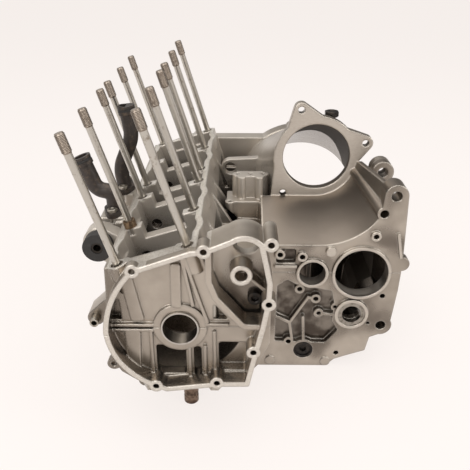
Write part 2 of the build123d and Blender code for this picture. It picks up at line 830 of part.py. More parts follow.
with BuildPart() as lower:
    # Crank trough
    with BuildSketch(side(web_y)):
        with BuildLine():
            Polyline((front_x, 0), (front_x, -42), (-64, -58), (-42, floor_z), (58, floor_z), (80, -48),
                     (shelf_x, -20), (shelf_x, 0), close=True)
        make_face()
    extrude(amount=2 * web_y)
    with BuildSketch(side(cover_y)):
        add(cover_outline(band / 2))
    extrude(amount=-web_setback)
    with BuildSketch(side(cover_y)):
        with Locations(*cover_screws[4:]):
            Circle(cover_boss / 2)
    extrude(amount=-web_setback)
    # Gearbox with its near face
    with BuildSketch(side(gearbox_y)):
        with BuildLine():
            Polyline(*lower_face_outline, close=True)
        make_face()
        with Locations((250.6, 11.3)):
            Circle(9)
    extrude(amount=-plate)
    for y in (gearbox_y, ring_y - lug_width / 2):
        with BuildSketch(side(y)):
            add(lug((lower_mount_x, lower_mount_z), mount_size, (lower_mount_x - 12, lower_mount_z + 30), 24))
        extrude(amount=-lug_width)
    with BuildSketch(side(gearbox_y)):
        with BuildLine():
            Polyline((shelf_x - wall, 0), (shelf_x - wall, sump_z), (170, sump_z), (180, -126), (218, -111),
                     (221, -86), (rear_x - 8, -84), (rear_x, -60), (rear_x, 0), close=True)
        make_face()
    extrude(amount=gearbox_y - partition_y - partition_wall)
    # Sump
    with BuildSketch(side(gearbox_y)):
        with BuildLine():
            Polyline((sump_front_x, floor_z + 10), (sump_front_x, sump_z), (170, sump_z), (170, floor_z + 10),
                     close=True)
        make_face()
    extrude(amount=gearbox_y - sump_far_y)
    # Clutch side
    with BuildSketch(side(partition_y)):
        with Locations((clutch_rim_x, 0)):
            Circle(clutch_rim / 2)
            Rectangle(clutch_rim - 8, 70, align=(Align.CENTER, Align.MAX))
    extrude(amount=partition_y - far_web_y)
    with BuildSketch(side(far_web_y - wall)):
        add(far_outline())
    extrude(amount=-(far_y - far_web_y + wall))

    # Hollows
    add(crank_space.part, mode=Mode.SUBTRACT)
    for start, end in bays:
        first, last = bay_inside(start, end)
        if last > gearbox_y + plate and first < sump_far_y:
            low_y = max(first, gearbox_y + plate)
            high_y = min(last, sump_far_y - wall)
            with BuildSketch(Plane.XY.offset(floor_z - 1)):
                with Locations((0, (low_y + high_y) / 2)):
                    Rectangle(60, high_y - low_y)
            extrude(amount=30, mode=Mode.SUBTRACT)
    with BuildSketch(side(gearbox_y + gearbox_wall)):
        with BuildLine():
            Polyline((shelf_x, 1), (shelf_x, sump_z - 1), (164, sump_z - 1), (176, -120), (212, -106),
                     (214, -80), (lower_mount_x - 14, lower_mount_z + 8), (rear_x - wall, -56), (rear_x - wall, 1),
                     close=True)
        make_face()
    extrude(amount=gearbox_y + gearbox_wall - partition_y, mode=Mode.SUBTRACT)
    with BuildSketch(side(gearbox_y + gearbox_wall)):
        with BuildLine():
            Polyline((sump_front_x + wall, floor_z), (sump_front_x + wall, sump_z - 1), (164, sump_z - 1),
                     (164, floor_z), close=True)
        make_face()
    extrude(amount=gearbox_y + gearbox_wall - sump_far_y + wall, mode=Mode.SUBTRACT)
    with BuildSketch(side(partition_y + partition_wall)):
        with Locations((clutch_x, clutch_z)):
            Circle(clutch_bore / 2)
    extrude(amount=partition_y + partition_wall - far_y, mode=Mode.SUBTRACT)
    with BuildSketch(side(far_web_y)):
        add(far_outline(-far_band))
    extrude(amount=-(far_y - far_web_y), mode=Mode.SUBTRACT)
    with BuildSketch(side(cover_y)):
        add(cover_outline(-band / 2))
    extrude(amount=-web_setback, mode=Mode.SUBTRACT)
    with BuildSketch(side(cover_y)):
        with Locations(*cover_screws[4:]):
            Circle(cover_boss / 2)
    extrude(amount=-web_setback)
    # Windows of the near web
    with BuildSketch(side(web_y - 1)):
        for left, right, high, low in web_windows:
            with Locations(((left + right) / 2, (high + low) / 2)):
                RectangleRounded(right - left, high - low, band_corner)
    extrude(amount=-end_wall - 2, mode=Mode.SUBTRACT)
    with BuildSketch(side(web_y - rib_proud)):
        add(strips(lower_web_ribs, rib_width))
        add(bands(lower_web_bands, band_corner))
        add(cover_outline(), mode=Mode.INTERSECT)
    extrude(amount=-rib_proud - 1)
    # Recess of the gearbox face, with its ribs and post left standing
    with BuildSketch(side(gearbox_y)):
        add(bands([face_recess], band_corner))
        add(strips(face_recess_ribs, rib_width), mode=Mode.SUBTRACT)
        with Locations(face_post):
            Circle(face_screw_boss / 2, mode=Mode.SUBTRACT)
    extrude(amount=-face_recess_depth, mode=Mode.SUBTRACT)
    # Front lug and foot, feet of the gearbox face
    with BuildSketch(side(web_y)):
        add(lug(front_lug, front_lug_size, (front_x + 12, -44), front_lug_size))
        with Locations(front_foot):
            Circle(front_lug_size / 2)
    extrude(amount=-front_lug_size / 2 - 1)
    with BuildSketch(side(gearbox_y - rib_proud / 2)):
        with Locations(*foot_bosses):
            Circle(face_screw_boss / 2)
    extrude(amount=-gearbox_wall)
    # Bearing bosses, the bosses of the clutch side rim and the seal housing
    add(bearing_bosses.part)
    add(far_bosses.part)
    with BuildSketch(side(gearbox_y - rim_proud)):
        with Locations((seal_x, seal_z)):
            Circle(seal_boss / 2)
    extrude(amount=-rim_proud - gearbox_wall)
    with BuildSketch(side(gearbox_y)):
        with Locations(*seal_screws):
            Circle(5)
        with Locations((face_plug_x, face_plug_z)):
            Circle(face_plug_size / 2 + 3)
        with Locations(*lower_face_screws):
            Circle(face_screw_boss / 2)
    extrude(amount=-gearbox_wall)
    for y in rear_bolt_planes:
        with BuildSketch(Plane.XY):
            with Locations((rear_bolt_x, y)):
                Circle(rear_lug / 2)
            with Locations((rear_x - 3, y)):
                Rectangle(6, rear_lug)
            make_hull()
        extrude(amount=-rear_lug_height)
    # Sump rim and its screw bosses
    with BuildSketch(Plane.XY.offset(sump_z)):
        with Locations(*sump_screws):
            Circle(6.5)
    extrude(amount=16)
    with BuildSketch(Plane.XY.offset(floor_z)):
        with Locations(*case_bolts):
            Circle(case_bolt_head * 0.6 + 1)
    extrude(amount=-case_bolt_head, mode=Mode.SUBTRACT)
    # Boss of the relief valve
    with BuildSketch(Plane.XY.offset(floor_z)):
        with Locations((valve_x, valve_y)):
            Circle(valve_size / 2 + 4)
    extrude(amount=-10)
    # Split at the crankshaft axis
    split(bisect_by=Plane.XY, keep=Keep.BOTTOM)
    # Bores and holes
    add(bores.part, mode=Mode.SUBTRACT)
    add(far_holes.part, mode=Mode.SUBTRACT)
    with BuildSketch(side(web_y)):
        with Locations(front_lug):
            Circle(front_lug_hole / 2)
    extrude(amount=-front_lug_size / 2 - 1, mode=Mode.SUBTRACT)
    with BuildSketch(side(gearbox_y)):
        with Locations(face_post):
            Circle(block_screw / 2)
    extrude(amount=-face_recess_depth, mode=Mode.SUBTRACT)
    with BuildSketch(side(cover_y)):
        with Locations(*cover_screws[4:]):
            Circle(cover_screw / 2)
    extrude(amount=-cover_screw_depth, mode=Mode.SUBTRACT)
    with BuildSketch(side(gearbox_y - rim_proud)):
        with Locations((seal_x, seal_z)):
            Circle(seal_size / 2 + fit)
    extrude(amount=-seal_width - 2, mode=Mode.SUBTRACT)
    with BuildSketch(side(gearbox_y - rim_proud)):
        with Locations((seal_x, seal_z)):
            Circle(seal_bore / 2)
    extrude(amount=-gearbox_wall - rim_proud - 10, mode=Mode.SUBTRACT)
    with BuildSketch(side(gearbox_y - 1)):
        with Locations((lower_mount_x, lower_mount_z)):
            Circle(mount_hole / 2)
    extrude(amount=gearbox_y - 1 - ring_y - lug_width, mode=Mode.SUBTRACT)
    with BuildSketch(side(gearbox_y)):
        with Locations((face_plug_x, face_plug_z)):
            Circle(face_plug_size / 2 + fit)
    extrude(amount=-face_plug_depth, mode=Mode.SUBTRACT)
    with BuildSketch(side(gearbox_y)):
        with Locations(*seal_screws):
            Circle(2.2)
        with Locations(*lower_face_screws):
            Circle(cover_screw / 2)
    extrude(amount=-face_screw_depth, mode=Mode.SUBTRACT)
    with BuildSketch(Plane.XY.offset(floor_z - case_bolt_head_height)):
        with Locations(*case_bolts):
            Circle(case_bolt_size / 2 + fit)
    extrude(amount=-floor_z + case_bolt_head_height, mode=Mode.SUBTRACT)
    with BuildSketch(Plane.XY):
        with Locations(*case_dowel_places):
            Circle(case_dowel_size / 2 + fit)
    extrude(amount=-case_dowel_length / 2, mode=Mode.SUBTRACT)
    with BuildSketch(Plane.XY):
        with Locations(*[(rear_bolt_x, y) for y in rear_bolt_planes]):
            Circle(rear_bolt_size / 2 + fit)
    extrude(amount=-rear_lug_height, mode=Mode.SUBTRACT)
    with BuildSketch(Plane.XY.offset(sump_z)):
        with Locations(*sump_screws):
            Circle(2.6)
    extrude(amount=14, mode=Mode.SUBTRACT)
    with BuildSketch(Plane.XY.offset(floor_z - 10)):
        with Locations((valve_x, valve_y)):
            Circle(valve_size / 2 + fit)
    extrude(amount=16, mode=Mode.SUBTRACT)


def finish(piece, name):
    """Label a finished piece and write its file."""
    piece.part.label = name
    export_step(piece.part, f"parts/{name}.step")


finish(upper, "upper_crankcase")
finish(lower, "lower_crankcase")

# Studs
for row, row_name in ((-1, "front"), (1, "rear")):
    for number, y in enumerate(main_planes, start=1):
        with BuildPart() as stud:
            with BuildSketch(deck.offset(-stud_in_case + 2)):
                with Locations((row * stud_rows / 2, y)):
                    Circle(stud_case_size / 2)
            extrude(amount=stud_in_case - 2 - stud_relief_depth)
            with BuildSketch(deck.offset(-stud_relief_depth)):
                with Locations((row * stud_rows / 2, y)):
                    Circle(stud_size / 2)
            extrude(amount=stud_length - stud_thread + stud_relief_depth)
            with BuildSketch(deck.offset(stud_length - stud_thread)):
                with Locations((row * stud_rows / 2, y)):
                    Circle(stud_thread_size / 2)
            extrude(amount=stud_thread)
            top = stud.faces().sort_by(lambda face: face.center().Z)[-1]
            chamfer(top.edges(), 0.8)
        finish(stud, f"stud_{row_name}_{number}")

with BuildPart() as cylinder_dowel:
    with BuildSketch(deck.offset(-dowel_depth + fit)):
        with Locations((-stud_rows / 2, main_planes[1])):
            Circle(dowel_size / 2)
            Circle(stud_case_size / 2 + 2 * fit, mode=Mode.SUBTRACT)
    extrude(amount=2 * dowel_depth)
finish(cylinder_dowel, "cylinder_dowel")

# Main bearing shells
for name, keep in (("main_shells_upper", Keep.TOP), ("main_shells_lower", Keep.BOTTOM)):
    with BuildPart() as shells:
        for y in main_planes:
            with BuildSketch(side(y - shell_width / 2)):
                Circle(main_bore / 2 - fit)
                Circle(main_bore / 2 - shell_wall, mode=Mode.SUBTRACT)
            extrude(amount=-shell_width)
        split(bisect_by=Plane.XY, keep=keep)
    finish(shells, name)

# Fasteners between the castings
with BuildPart() as case_bolt_set:
    with BuildSketch(Plane.XY.offset(floor_z)):
        with Locations(*case_bolts):
            Circle(case_bolt_size / 2)
    extrude(amount=case_bolt_grip - 2 - floor_z)
    with BuildSketch(Plane.XY.offset(floor_z)):
        with Locations(*case_bolts):
            RegularPolygon(case_bolt_head / 2, 6, major_radius=False)
    extrude(amount=-case_bolt_head_height)
finish(case_bolt_set, "crankcase_bolts")

with BuildPart() as case_dowels:
    with BuildSketch(Plane.XY.offset(-case_dowel_length / 2 + fit)):
        with Locations(*case_dowel_places):
            Circle(case_dowel_size / 2)
            Circle(case_bolt_size / 2 + 2 * fit, mode=Mode.SUBTRACT)
    extrude(amount=case_dowel_length - 2 * fit)
finish(case_dowels, "case_dowels")

with BuildPart() as rear_bolts:
    with BuildSketch(Plane.XY.offset(-rear_lug_height)):
        with Locations(*[(rear_bolt_x, y) for y in rear_bolt_planes]):
            Circle(rear_bolt_size / 2)
    extrude(amount=2 * rear_lug_height)
    with BuildSketch(Plane.XY.offset(-rear_lug_height)):
        with Locations(*[(rear_bolt_x, y) for y in rear_bolt_planes]):
            RegularPolygon(rear_bolt_head / 2, 6, major_radius=False)
    extrude(amount=-rear_bolt_size * 0.7)
finish(rear_bolts, "rear_case_bolts")

# Mount bush and its sleeve
with BuildPart() as bush:
    with BuildSketch(side(bush_y)):
        with Locations((bush_x, bush_z)):
            Circle(bush_size / 2)
    extrude(amount=-bush_length)
    with BuildSketch(side(bush_y)):
        with Locations((bush_x, bush_z)):
            Circle(bush_spigot / 2 - fit)
    extrude(amount=-bush_length - bracket_width)
    with BuildSketch(side(bush_y)):
        with Locations((bush_x, bush_z)):
            Circle(sleeve_size / 2)
    extrude(amount=-bush_length - bracket_width, mode=Mode.SUBTRACT)
finish(bush, "mount_bush")

with BuildPart() as sleeve:
    with BuildSketch(side(bush_y + 1)):
        with Locations((bush_x, bush_z)):
            Circle(sleeve_size / 2 - fit)
            Circle(sleeve_bore / 2, mode=Mode.SUBTRACT)
    extrude(amount=-bush_length - bracket_width)
finish(sleeve, "mount_bush_sleeve")


def coolant_pipe(route, radii, pad_plane):
    """Bent pipe with an oval foot and two collars at its open end."""
    with BuildPart() as pipe:
        with BuildLine() as line:
            FilletPolyline(*route, radius=radii)
        with BuildSketch(Plane(origin=route[0], z_dir=(0, 0, 1))):
            Circle(pipe_size / 2)
        sweep()
        end = Plane(origin=line.line @ 1, z_dir=line.line % 1)
        for low, high in collars:
            with BuildSketch(end.offset(-low)):
                Circle(collar_size / 2)
            extrude(amount=low - high)
        with BuildSketch(pad_plane):
            for shift in (-1, 1):
                with Locations((0, shift * flange_bolt_gap / 2)):
                    Circle(flange_bolt_size + 1)
            Circle(pipe_size / 2 + 3)
            make_hull()
        extrude(amount=flange_thickness)
        with BuildSketch(Plane(origin=route[0], z_dir=(0, 0, 1))):
            Circle(pipe_bore / 2)
        sweep(path=line.line, mode=Mode.SUBTRACT)
        with BuildSketch(pad_plane):
            with Locations((0, flange_bolt_gap / 2), (0, -flange_bolt_gap / 2)):
                Circle(flange_bolt_size / 2 + fit)
        extrude(amount=flange_thickness, mode=Mode.SUBTRACT)
    return pipe, end


side_pad = Plane(origin=(side_pipe_x, side_pipe_y, side_pad_z))
centre_pad = Plane(origin=(centre_pipe_x, centre_pipe_y, centre_pad_z))
side_pipe, side_end = coolant_pipe([(side_pipe_x, side_pipe_y, side_pad_z), (side_pipe_x, side_pipe_y, 94),
                                    (-104, side_pipe_y, 98), (-118, side_pipe_y, 137)], (11, 14), side_pad)
centre_pipe, centre_end = coolant_pipe([(centre_pipe_x, centre_pipe_y, centre_pad_z), (-88.5, centre_pipe_y, 100),
                                        (-71, centre_pipe_y, 140), (-76, centre_pipe_y, 178)], (40, 40), centre_pad)
finish(side_pipe, "coolant_pipe_side")
finish(centre_pipe, "coolant_pipe_centre")

with BuildPart() as o_rings:
    for end in (side_end, centre_end):
        with BuildSketch(end.offset(-collars[1][0] + fit)):
            Circle(collar_size / 2 - 0.4)
            Circle(pipe_size / 2 + fit, mode=Mode.SUBTRACT)
        extrude(amount=collars[1][0] - collars[0][1] - 2 * fit)
finish(o_rings, "pipe_o_rings")

with BuildPart() as flange_bolts:
    for pad in (side_pad, centre_pad):
        with BuildSketch(pad.offset(-pad_height + 4)):
            with Locations((0, flange_bolt_gap / 2), (0, -flange_bolt_gap / 2)):
                Circle(flange_bolt_size / 2)
        extrude(amount=pad_height - 4 + flange_thickness)
        with BuildSketch(pad.offset(flange_thickness)):
            with Locations((0, flange_bolt_gap / 2), (0, -flange_bolt_gap / 2)):
                RegularPolygon(flange_bolt_size * 0.83, 6, major_radius=False)
        extrude(amount=flange_bolt_size * 0.7)
finish(flange_bolts, "pipe_flange_bolts")

with BuildPart() as hose_union:
    with BuildSketch(side(union_end_y)):
        with Locations((union_x, union_z)):
            Circle(union_size / 2)
            Circle(union_hole / 2, mode=Mode.SUBTRACT)
    extrude(amount=-union_length)
finish(hose_union, "hose_union")

with BuildPart() as ring_bolt:
    with BuildSketch(Plane.XY.offset(ring_bolt_boss_z - 14)):
        with Locations((ring_bolt_x, ring_bolt_y)):
            Circle(ring_bolt_size / 2)
    extrude(amount=14 + 5)
    with BuildSketch(Plane.XY.offset(ring_bolt_boss_z + 5)):
        with Locations((ring_bolt_x, ring_bolt_y)):
            RegularPolygon(ring_bolt_head / 2, 6, major_radius=False)
    extrude(amount=7)
finish(ring_bolt, "ring_hex_bolt")

with BuildPart() as gallery_plug:
    with BuildSketch(side(cover_y + pocket_depth)):
        with Locations((gallery_plug_x, gallery_plug_z)):
            Circle(gallery_plug_size / 2)
            RegularPolygon(gallery_plug_size / 4.5, 6, major_radius=False, mode=Mode.SUBTRACT)
    extrude(amount=gallery_plug_height)
    with BuildSketch(side(cover_y + pocket_depth)):
        with Locations((gallery_plug_x, gallery_plug_z)):
            Circle(gallery_plug_size / 2 - 2)
    extrude(amount=-pocket_back)
finish(gallery_plug, "oil_gallery_plug")

with BuildPart() as face_plug:
    with BuildSketch(side(gearbox_y)):
        with Locations((face_plug_x, face_plug_z)):
            Circle(face_plug_size / 2)
    extrude(amount=-face_plug_depth + fit)
    with BuildSketch(side(gearbox_y)):
        with Locations((face_plug_x, face_plug_z)):
            Circle(face_plug_size / 2 - 2.5)
    extrude(amount=-2, mode=Mode.SUBTRACT)
    with BuildSketch(side(gearbox_y)):
        with Locations((face_plug_x, face_plug_z)):
            RegularPolygon(face_plug_size / 6, 6, major_radius=False)
    extrude(amount=-6, mode=Mode.SUBTRACT)
finish(face_plug, "gearbox_face_plug")

with BuildPart() as seal:
    with BuildSketch(side(gearbox_y - rim_proud + 1)):
        with Locations((seal_x, seal_z)):
            Circle(seal_size / 2)
            Circle(seal_bore / 2, mode=Mode.SUBTRACT)
    extrude(amount=-seal_width)
finish(seal, "shift_shaft_seal")

with BuildPart() as valve:
    with BuildSketch(Plane.XY.offset(sump_z)):
        with Locations((valve_x, valve_y)):
            Circle(valve_size / 2)
    extrude(amount=floor_z - sump_z + 6 - fit)
    with BuildSketch(Plane.XY.offset(sump_z)):
        with Locations((valve_x, valve_y)):
            Circle(valve_size / 2 - 3)
    extrude(amount=4, mode=Mode.SUBTRACT)
    chamfer(valve.edges().filter_by(GeomType.CIRCLE).group_by(Axis.Z)[0].sort_by(SortBy.LENGTH)[-1], 1)
finish(valve, "oil_relief_valve")
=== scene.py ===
"""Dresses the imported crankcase: cast and machined aluminium, studs, pipes, seals, floor, lamps and camera."""

import logging
from dataclasses import dataclass
from enum import Enum
from math import atan2, cos, pi, radians, sin
from typing import Optional, Sequence, Union

import bmesh
import bpy
from mathutils import Matrix, Vector


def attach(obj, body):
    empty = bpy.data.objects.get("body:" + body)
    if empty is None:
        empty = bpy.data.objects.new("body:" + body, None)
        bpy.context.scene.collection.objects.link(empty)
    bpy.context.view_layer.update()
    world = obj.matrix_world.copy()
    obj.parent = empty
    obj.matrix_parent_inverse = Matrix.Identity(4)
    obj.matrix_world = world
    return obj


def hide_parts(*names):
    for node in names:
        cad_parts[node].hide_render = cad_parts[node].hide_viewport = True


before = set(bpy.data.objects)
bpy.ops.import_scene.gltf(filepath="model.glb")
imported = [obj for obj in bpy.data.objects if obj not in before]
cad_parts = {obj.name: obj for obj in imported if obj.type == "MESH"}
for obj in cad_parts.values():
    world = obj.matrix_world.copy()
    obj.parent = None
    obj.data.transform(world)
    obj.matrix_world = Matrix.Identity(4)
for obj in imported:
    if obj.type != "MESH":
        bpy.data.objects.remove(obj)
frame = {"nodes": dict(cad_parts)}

logging.basicConfig(level=logging.INFO, format="%(message)s")
log = logging.getLogger("crankcase")

Point = tuple[float, float, float]
Colour = tuple[float, float, float]
Range = tuple[float, float]
Ring = tuple[float, float, int]

MM = 0.001
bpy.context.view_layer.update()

# Sizes shared with the castings, in metres
LEAN = radians(17.2)
DECK_HEIGHT = 84.6 * MM
STUD_ROWS = 72.7 * MM
STUD_PLANES = tuple(y * MM for y in (-193.5, -107.5, -21.5, 21.5, 107.5, 193.5))
COVER_Y = -215.5 * MM
GEARBOX_X = 88.0 * MM
GEARBOX_Y = -83.5 * MM
RING_Y = 6.5 * MM
RING_CENTRE = (154.0 * MM, 112.7 * MM)


class Facing(Enum):
    """Directions of the castings' faces."""

    NEAR = (0.0, -1.0, 0.0)
    FAR = (0.0, 1.0, 0.0)
    DECK = (-sin(LEAN), 0.0, cos(LEAN))
    UP = (0.0, 0.0, 1.0)


class Turn(Enum):
    """Which way a fitting's own Z points, as a turn about X."""

    UP = 0.0
    NEAR = pi / 2
    DOWN = pi


@dataclass(frozen=True)
class Grain:
    """A noise pattern over a piece.

    Its fields are the waves in a metre, the octaves, the weight of the finer octaves, and the axes' factors.
    """

    scale: float
    detail: float = 3.0
    rough: float = 0.5
    stretch: Optional[Point] = None


class Value:
    """A shader socket, or a number, that takes part in Python expressions."""

    def __init__(self, graph: "Graph", socket: Union[bpy.types.NodeSocket, float]) -> None:
        """Wraps a socket.

        Args:
            graph: The node graph that new nodes go into.
            socket: An output socket or a plain number.
        """
        self.graph = graph
        self.socket = socket

    def _math(self, operation: str, other: object = None, swap: bool = False) -> "Value":
        """Adds a Math node.

        Args:
            operation: Name of the Math node's operation.
            other: The second operand, if any.
            swap: Whether the second operand comes first.

        Returns:
            The node's result.
        """
        pair = [self] if other is None else [other, self] if swap else [self, other]
        return self.graph.node("ShaderNodeMath", {"operation": operation}, dict(enumerate(pair)))

    def __add__(self, other: object) -> "Value":
        """Sum."""
        return self._math("ADD", other)

    __radd__ = __add__

    def __sub__(self, other: object) -> "Value":
        """Difference."""
        return self._math("SUBTRACT", other)

    def __rsub__(self, other: object) -> "Value":
        """Difference with the operands the other way round."""
        return self._math("SUBTRACT", other, swap=True)

    def __mul__(self, other: object) -> "Value":
        """Product."""
        return self._math("MULTIPLY", other)

    __rmul__ = __mul__

    def __pow__(self, other: object) -> "Value":
        """Power."""
        return self._math("POWER", other)

    def __lt__(self, other: object) -> "Value":
        """1 where this is less."""
        return self._math("LESS_THAN", other)

    def __gt__(self, other: object) -> "Value":
        """1 where this is more."""
        return self._math("GREATER_THAN", other)

    def size(self) -> "Value":
        """Absolute value."""
        return self._math("ABSOLUTE")

    def most(self, other: object) -> "Value":
        """The larger of two."""
        return self._math("MAXIMUM", other)

    def ramp(self, low: float, high: float) -> "Value":
        """Rises smoothly from 0 at low to 1 at high."""
        return self.graph.node(
            "ShaderNodeMapRange",
            {"interpolation_type": "SMOOTHSTEP"},
            {"Value": self, "From Min": low, "From Max": high, "To Min": 0.0, "To Max": 1.0},
        )


class Graph:
    """Nodes of one material or of the world."""

    def __init__(self, owner: Union[bpy.types.Material, bpy.types.World]) -> None:
        """Empties the nodes of a material or a world.

        Args:
            owner: What the nodes belong to.
        """
        owner.use_nodes = True
        self.owner = owner
        self.tree = owner.node_tree
        self.tree.nodes.clear()
        self.place = self.node("ShaderNodeTexCoord", {}, {}, "Object")

    @classmethod
    def named(cls, name: str) -> "Graph":
        """Starts the nodes of a new material."""
        return cls(bpy.data.materials.new(name))

    def node(
        self, kind: str, settings: dict[str, object], inputs: dict[object, object], output: object = 0
    ) -> Value:
        """Adds one node.

        Args:
            kind: Blender's node type.
            settings: Properties set before the sockets are filled.
            inputs: Socket name or number to a value, a colour or a link.
            output: Name or number of the output wanted.

        Returns:
            The wanted output.
        """
        made = self.tree.nodes.new(kind)
        for key, setting in settings.items():
            setattr(made, key, setting)
        for key, given in inputs.items():
            if isinstance(given, Value):
                given = given.socket
            if isinstance(given, bpy.types.NodeSocket):
                self.tree.links.new(given, made.inputs[key])
            else:
                made.inputs[key].default_value = given
        return Value(self, made.outputs[output])

    def noise(self, grain: Grain) -> Value:
        """Noise over the piece.

        Args:
            grain: The pattern.

        Returns:
            Values round one half.
        """
        place: Value = self.place
        if grain.stretch:
            place = self.node("ShaderNodeMapping", {}, {"Vector": place, "Scale": grain.stretch})
        sockets = {"Vector": place, "Scale": grain.scale, "Detail": grain.detail, "Roughness": grain.rough}
        return self.node("ShaderNodeTexNoise", {}, sockets)

    def tint(self, low: object, high: object, mask: object) -> Value:
        """Mixes two colours.

        Args:
            low: Colour where the mask is 0.
            high: Colour where the mask is 1.
            mask: The mask.

        Returns:
            The mixed colour.
        """
        pick = {"data_type": "RGBA"}
        return self.node("ShaderNodeMix", pick, {0: mask, 6: _rgba(low), 7: _rgba(high)}, 2)

    def axes(self, vector: Value) -> tuple[Value, Value, Value]:
        """The three parts of a vector."""
        split = self.node("ShaderNodeSeparateXYZ", {}, {0: vector}).socket.node
        return tuple(Value(self, out) for out in split.outputs)

    def along(self, vector: Value, direction: Sequence[float]) -> Value:
        """Length of a vector along a direction."""
        pair = {0: vector, 1: tuple(direction)}
        return self.node("ShaderNodeVectorMath", {"operation": "DOT_PRODUCT"}, pair, "Value")

    def apart(self, first: Value, second: Value) -> Value:
        """Distance between two vectors."""
        pair = {0: first, 1: second}
        return self.node("ShaderNodeVectorMath", {"operation": "DISTANCE"}, pair, "Value")

    def normal(self) -> Value:
        """The surface's own direction."""
        return self.node("ShaderNodeNewGeometry", {}, {}, "Normal")

    def shade(self, reach: float) -> Value:
        """How far other surfaces close a place in, 0 in the open.

        Args:
            reach: Distance in which they count.

        Returns:
            The share that is closed.
        """
        clear = self.node("ShaderNodeAmbientOcclusion", {"samples": 8}, {"Distance": reach}, "AO")
        return 1.0 - clear

    def soft_edges(self, radius: float) -> Value:
        """Surface direction with its edges rounded."""
        return self.node("ShaderNodeBevel", {"samples": 6}, {"Radius": radius})

    def bump(self, height: Value, depth: float, normal: Optional[Value] = None) -> Value:
        """Surface direction bent by a height.

        Args:
            height: The height, in shares of the depth.
            depth: Depth in metres.
            normal: Direction to start from.

        Returns:
            The bent direction.
        """
        inputs: dict[object, object] = {"Height": height, "Distance": depth, "Strength": 1.0}
        if normal is not None:
            inputs["Normal"] = normal
        return self.node("ShaderNodeBump", {}, inputs)

    def finish(self, values: dict[str, object]) -> bpy.types.Material:
        """Ends the graph in one surface shader.

        Args:
            values: The shader's sockets.

        Returns:
            The material.
        """
        self.end(self.node("ShaderNodeBsdfPrincipled", {}, values))
        return self.owner

    def end(self, surface: Value, kind: str = "ShaderNodeOutputMaterial") -> None:
        """Links the surface to the output.

        Args:
            surface: The finished shader.
            kind: Output of a material or of a world.
        """
        end = self.tree.nodes.new(kind)
        self.tree.links.new(surface.socket, end.inputs["Surface"])


def _rgba(colour: object) -> object:
    """A colour with its fourth part, or the value as it is."""
    return (*colour, 1.0) if isinstance(colour, tuple) and len(colour) == 3 else colour


@dataclass(frozen=True)
class Span:
    """A stretch between two levels, with soft ends."""

    low: float
    high: float
    soft: float

    def mask(self, value: Value) -> Value:
        """1 inside the stretch, falling to 0 at its ends."""
        return value.ramp(self.low, self.low + self.soft) * value.ramp(self.high, self.high - self.soft)


@dataclass(frozen=True)
class Bore:
    """A round hole along Y that a cutter has bored."""

    x: float
    z: float
    radius: float

    def mask(self, x: Value, z: Value) -> Value:
        """1 inside the hole."""
        return ((x - self.x) ** 2.0 + (z - self.z) ** 2.0) < self.radius**2


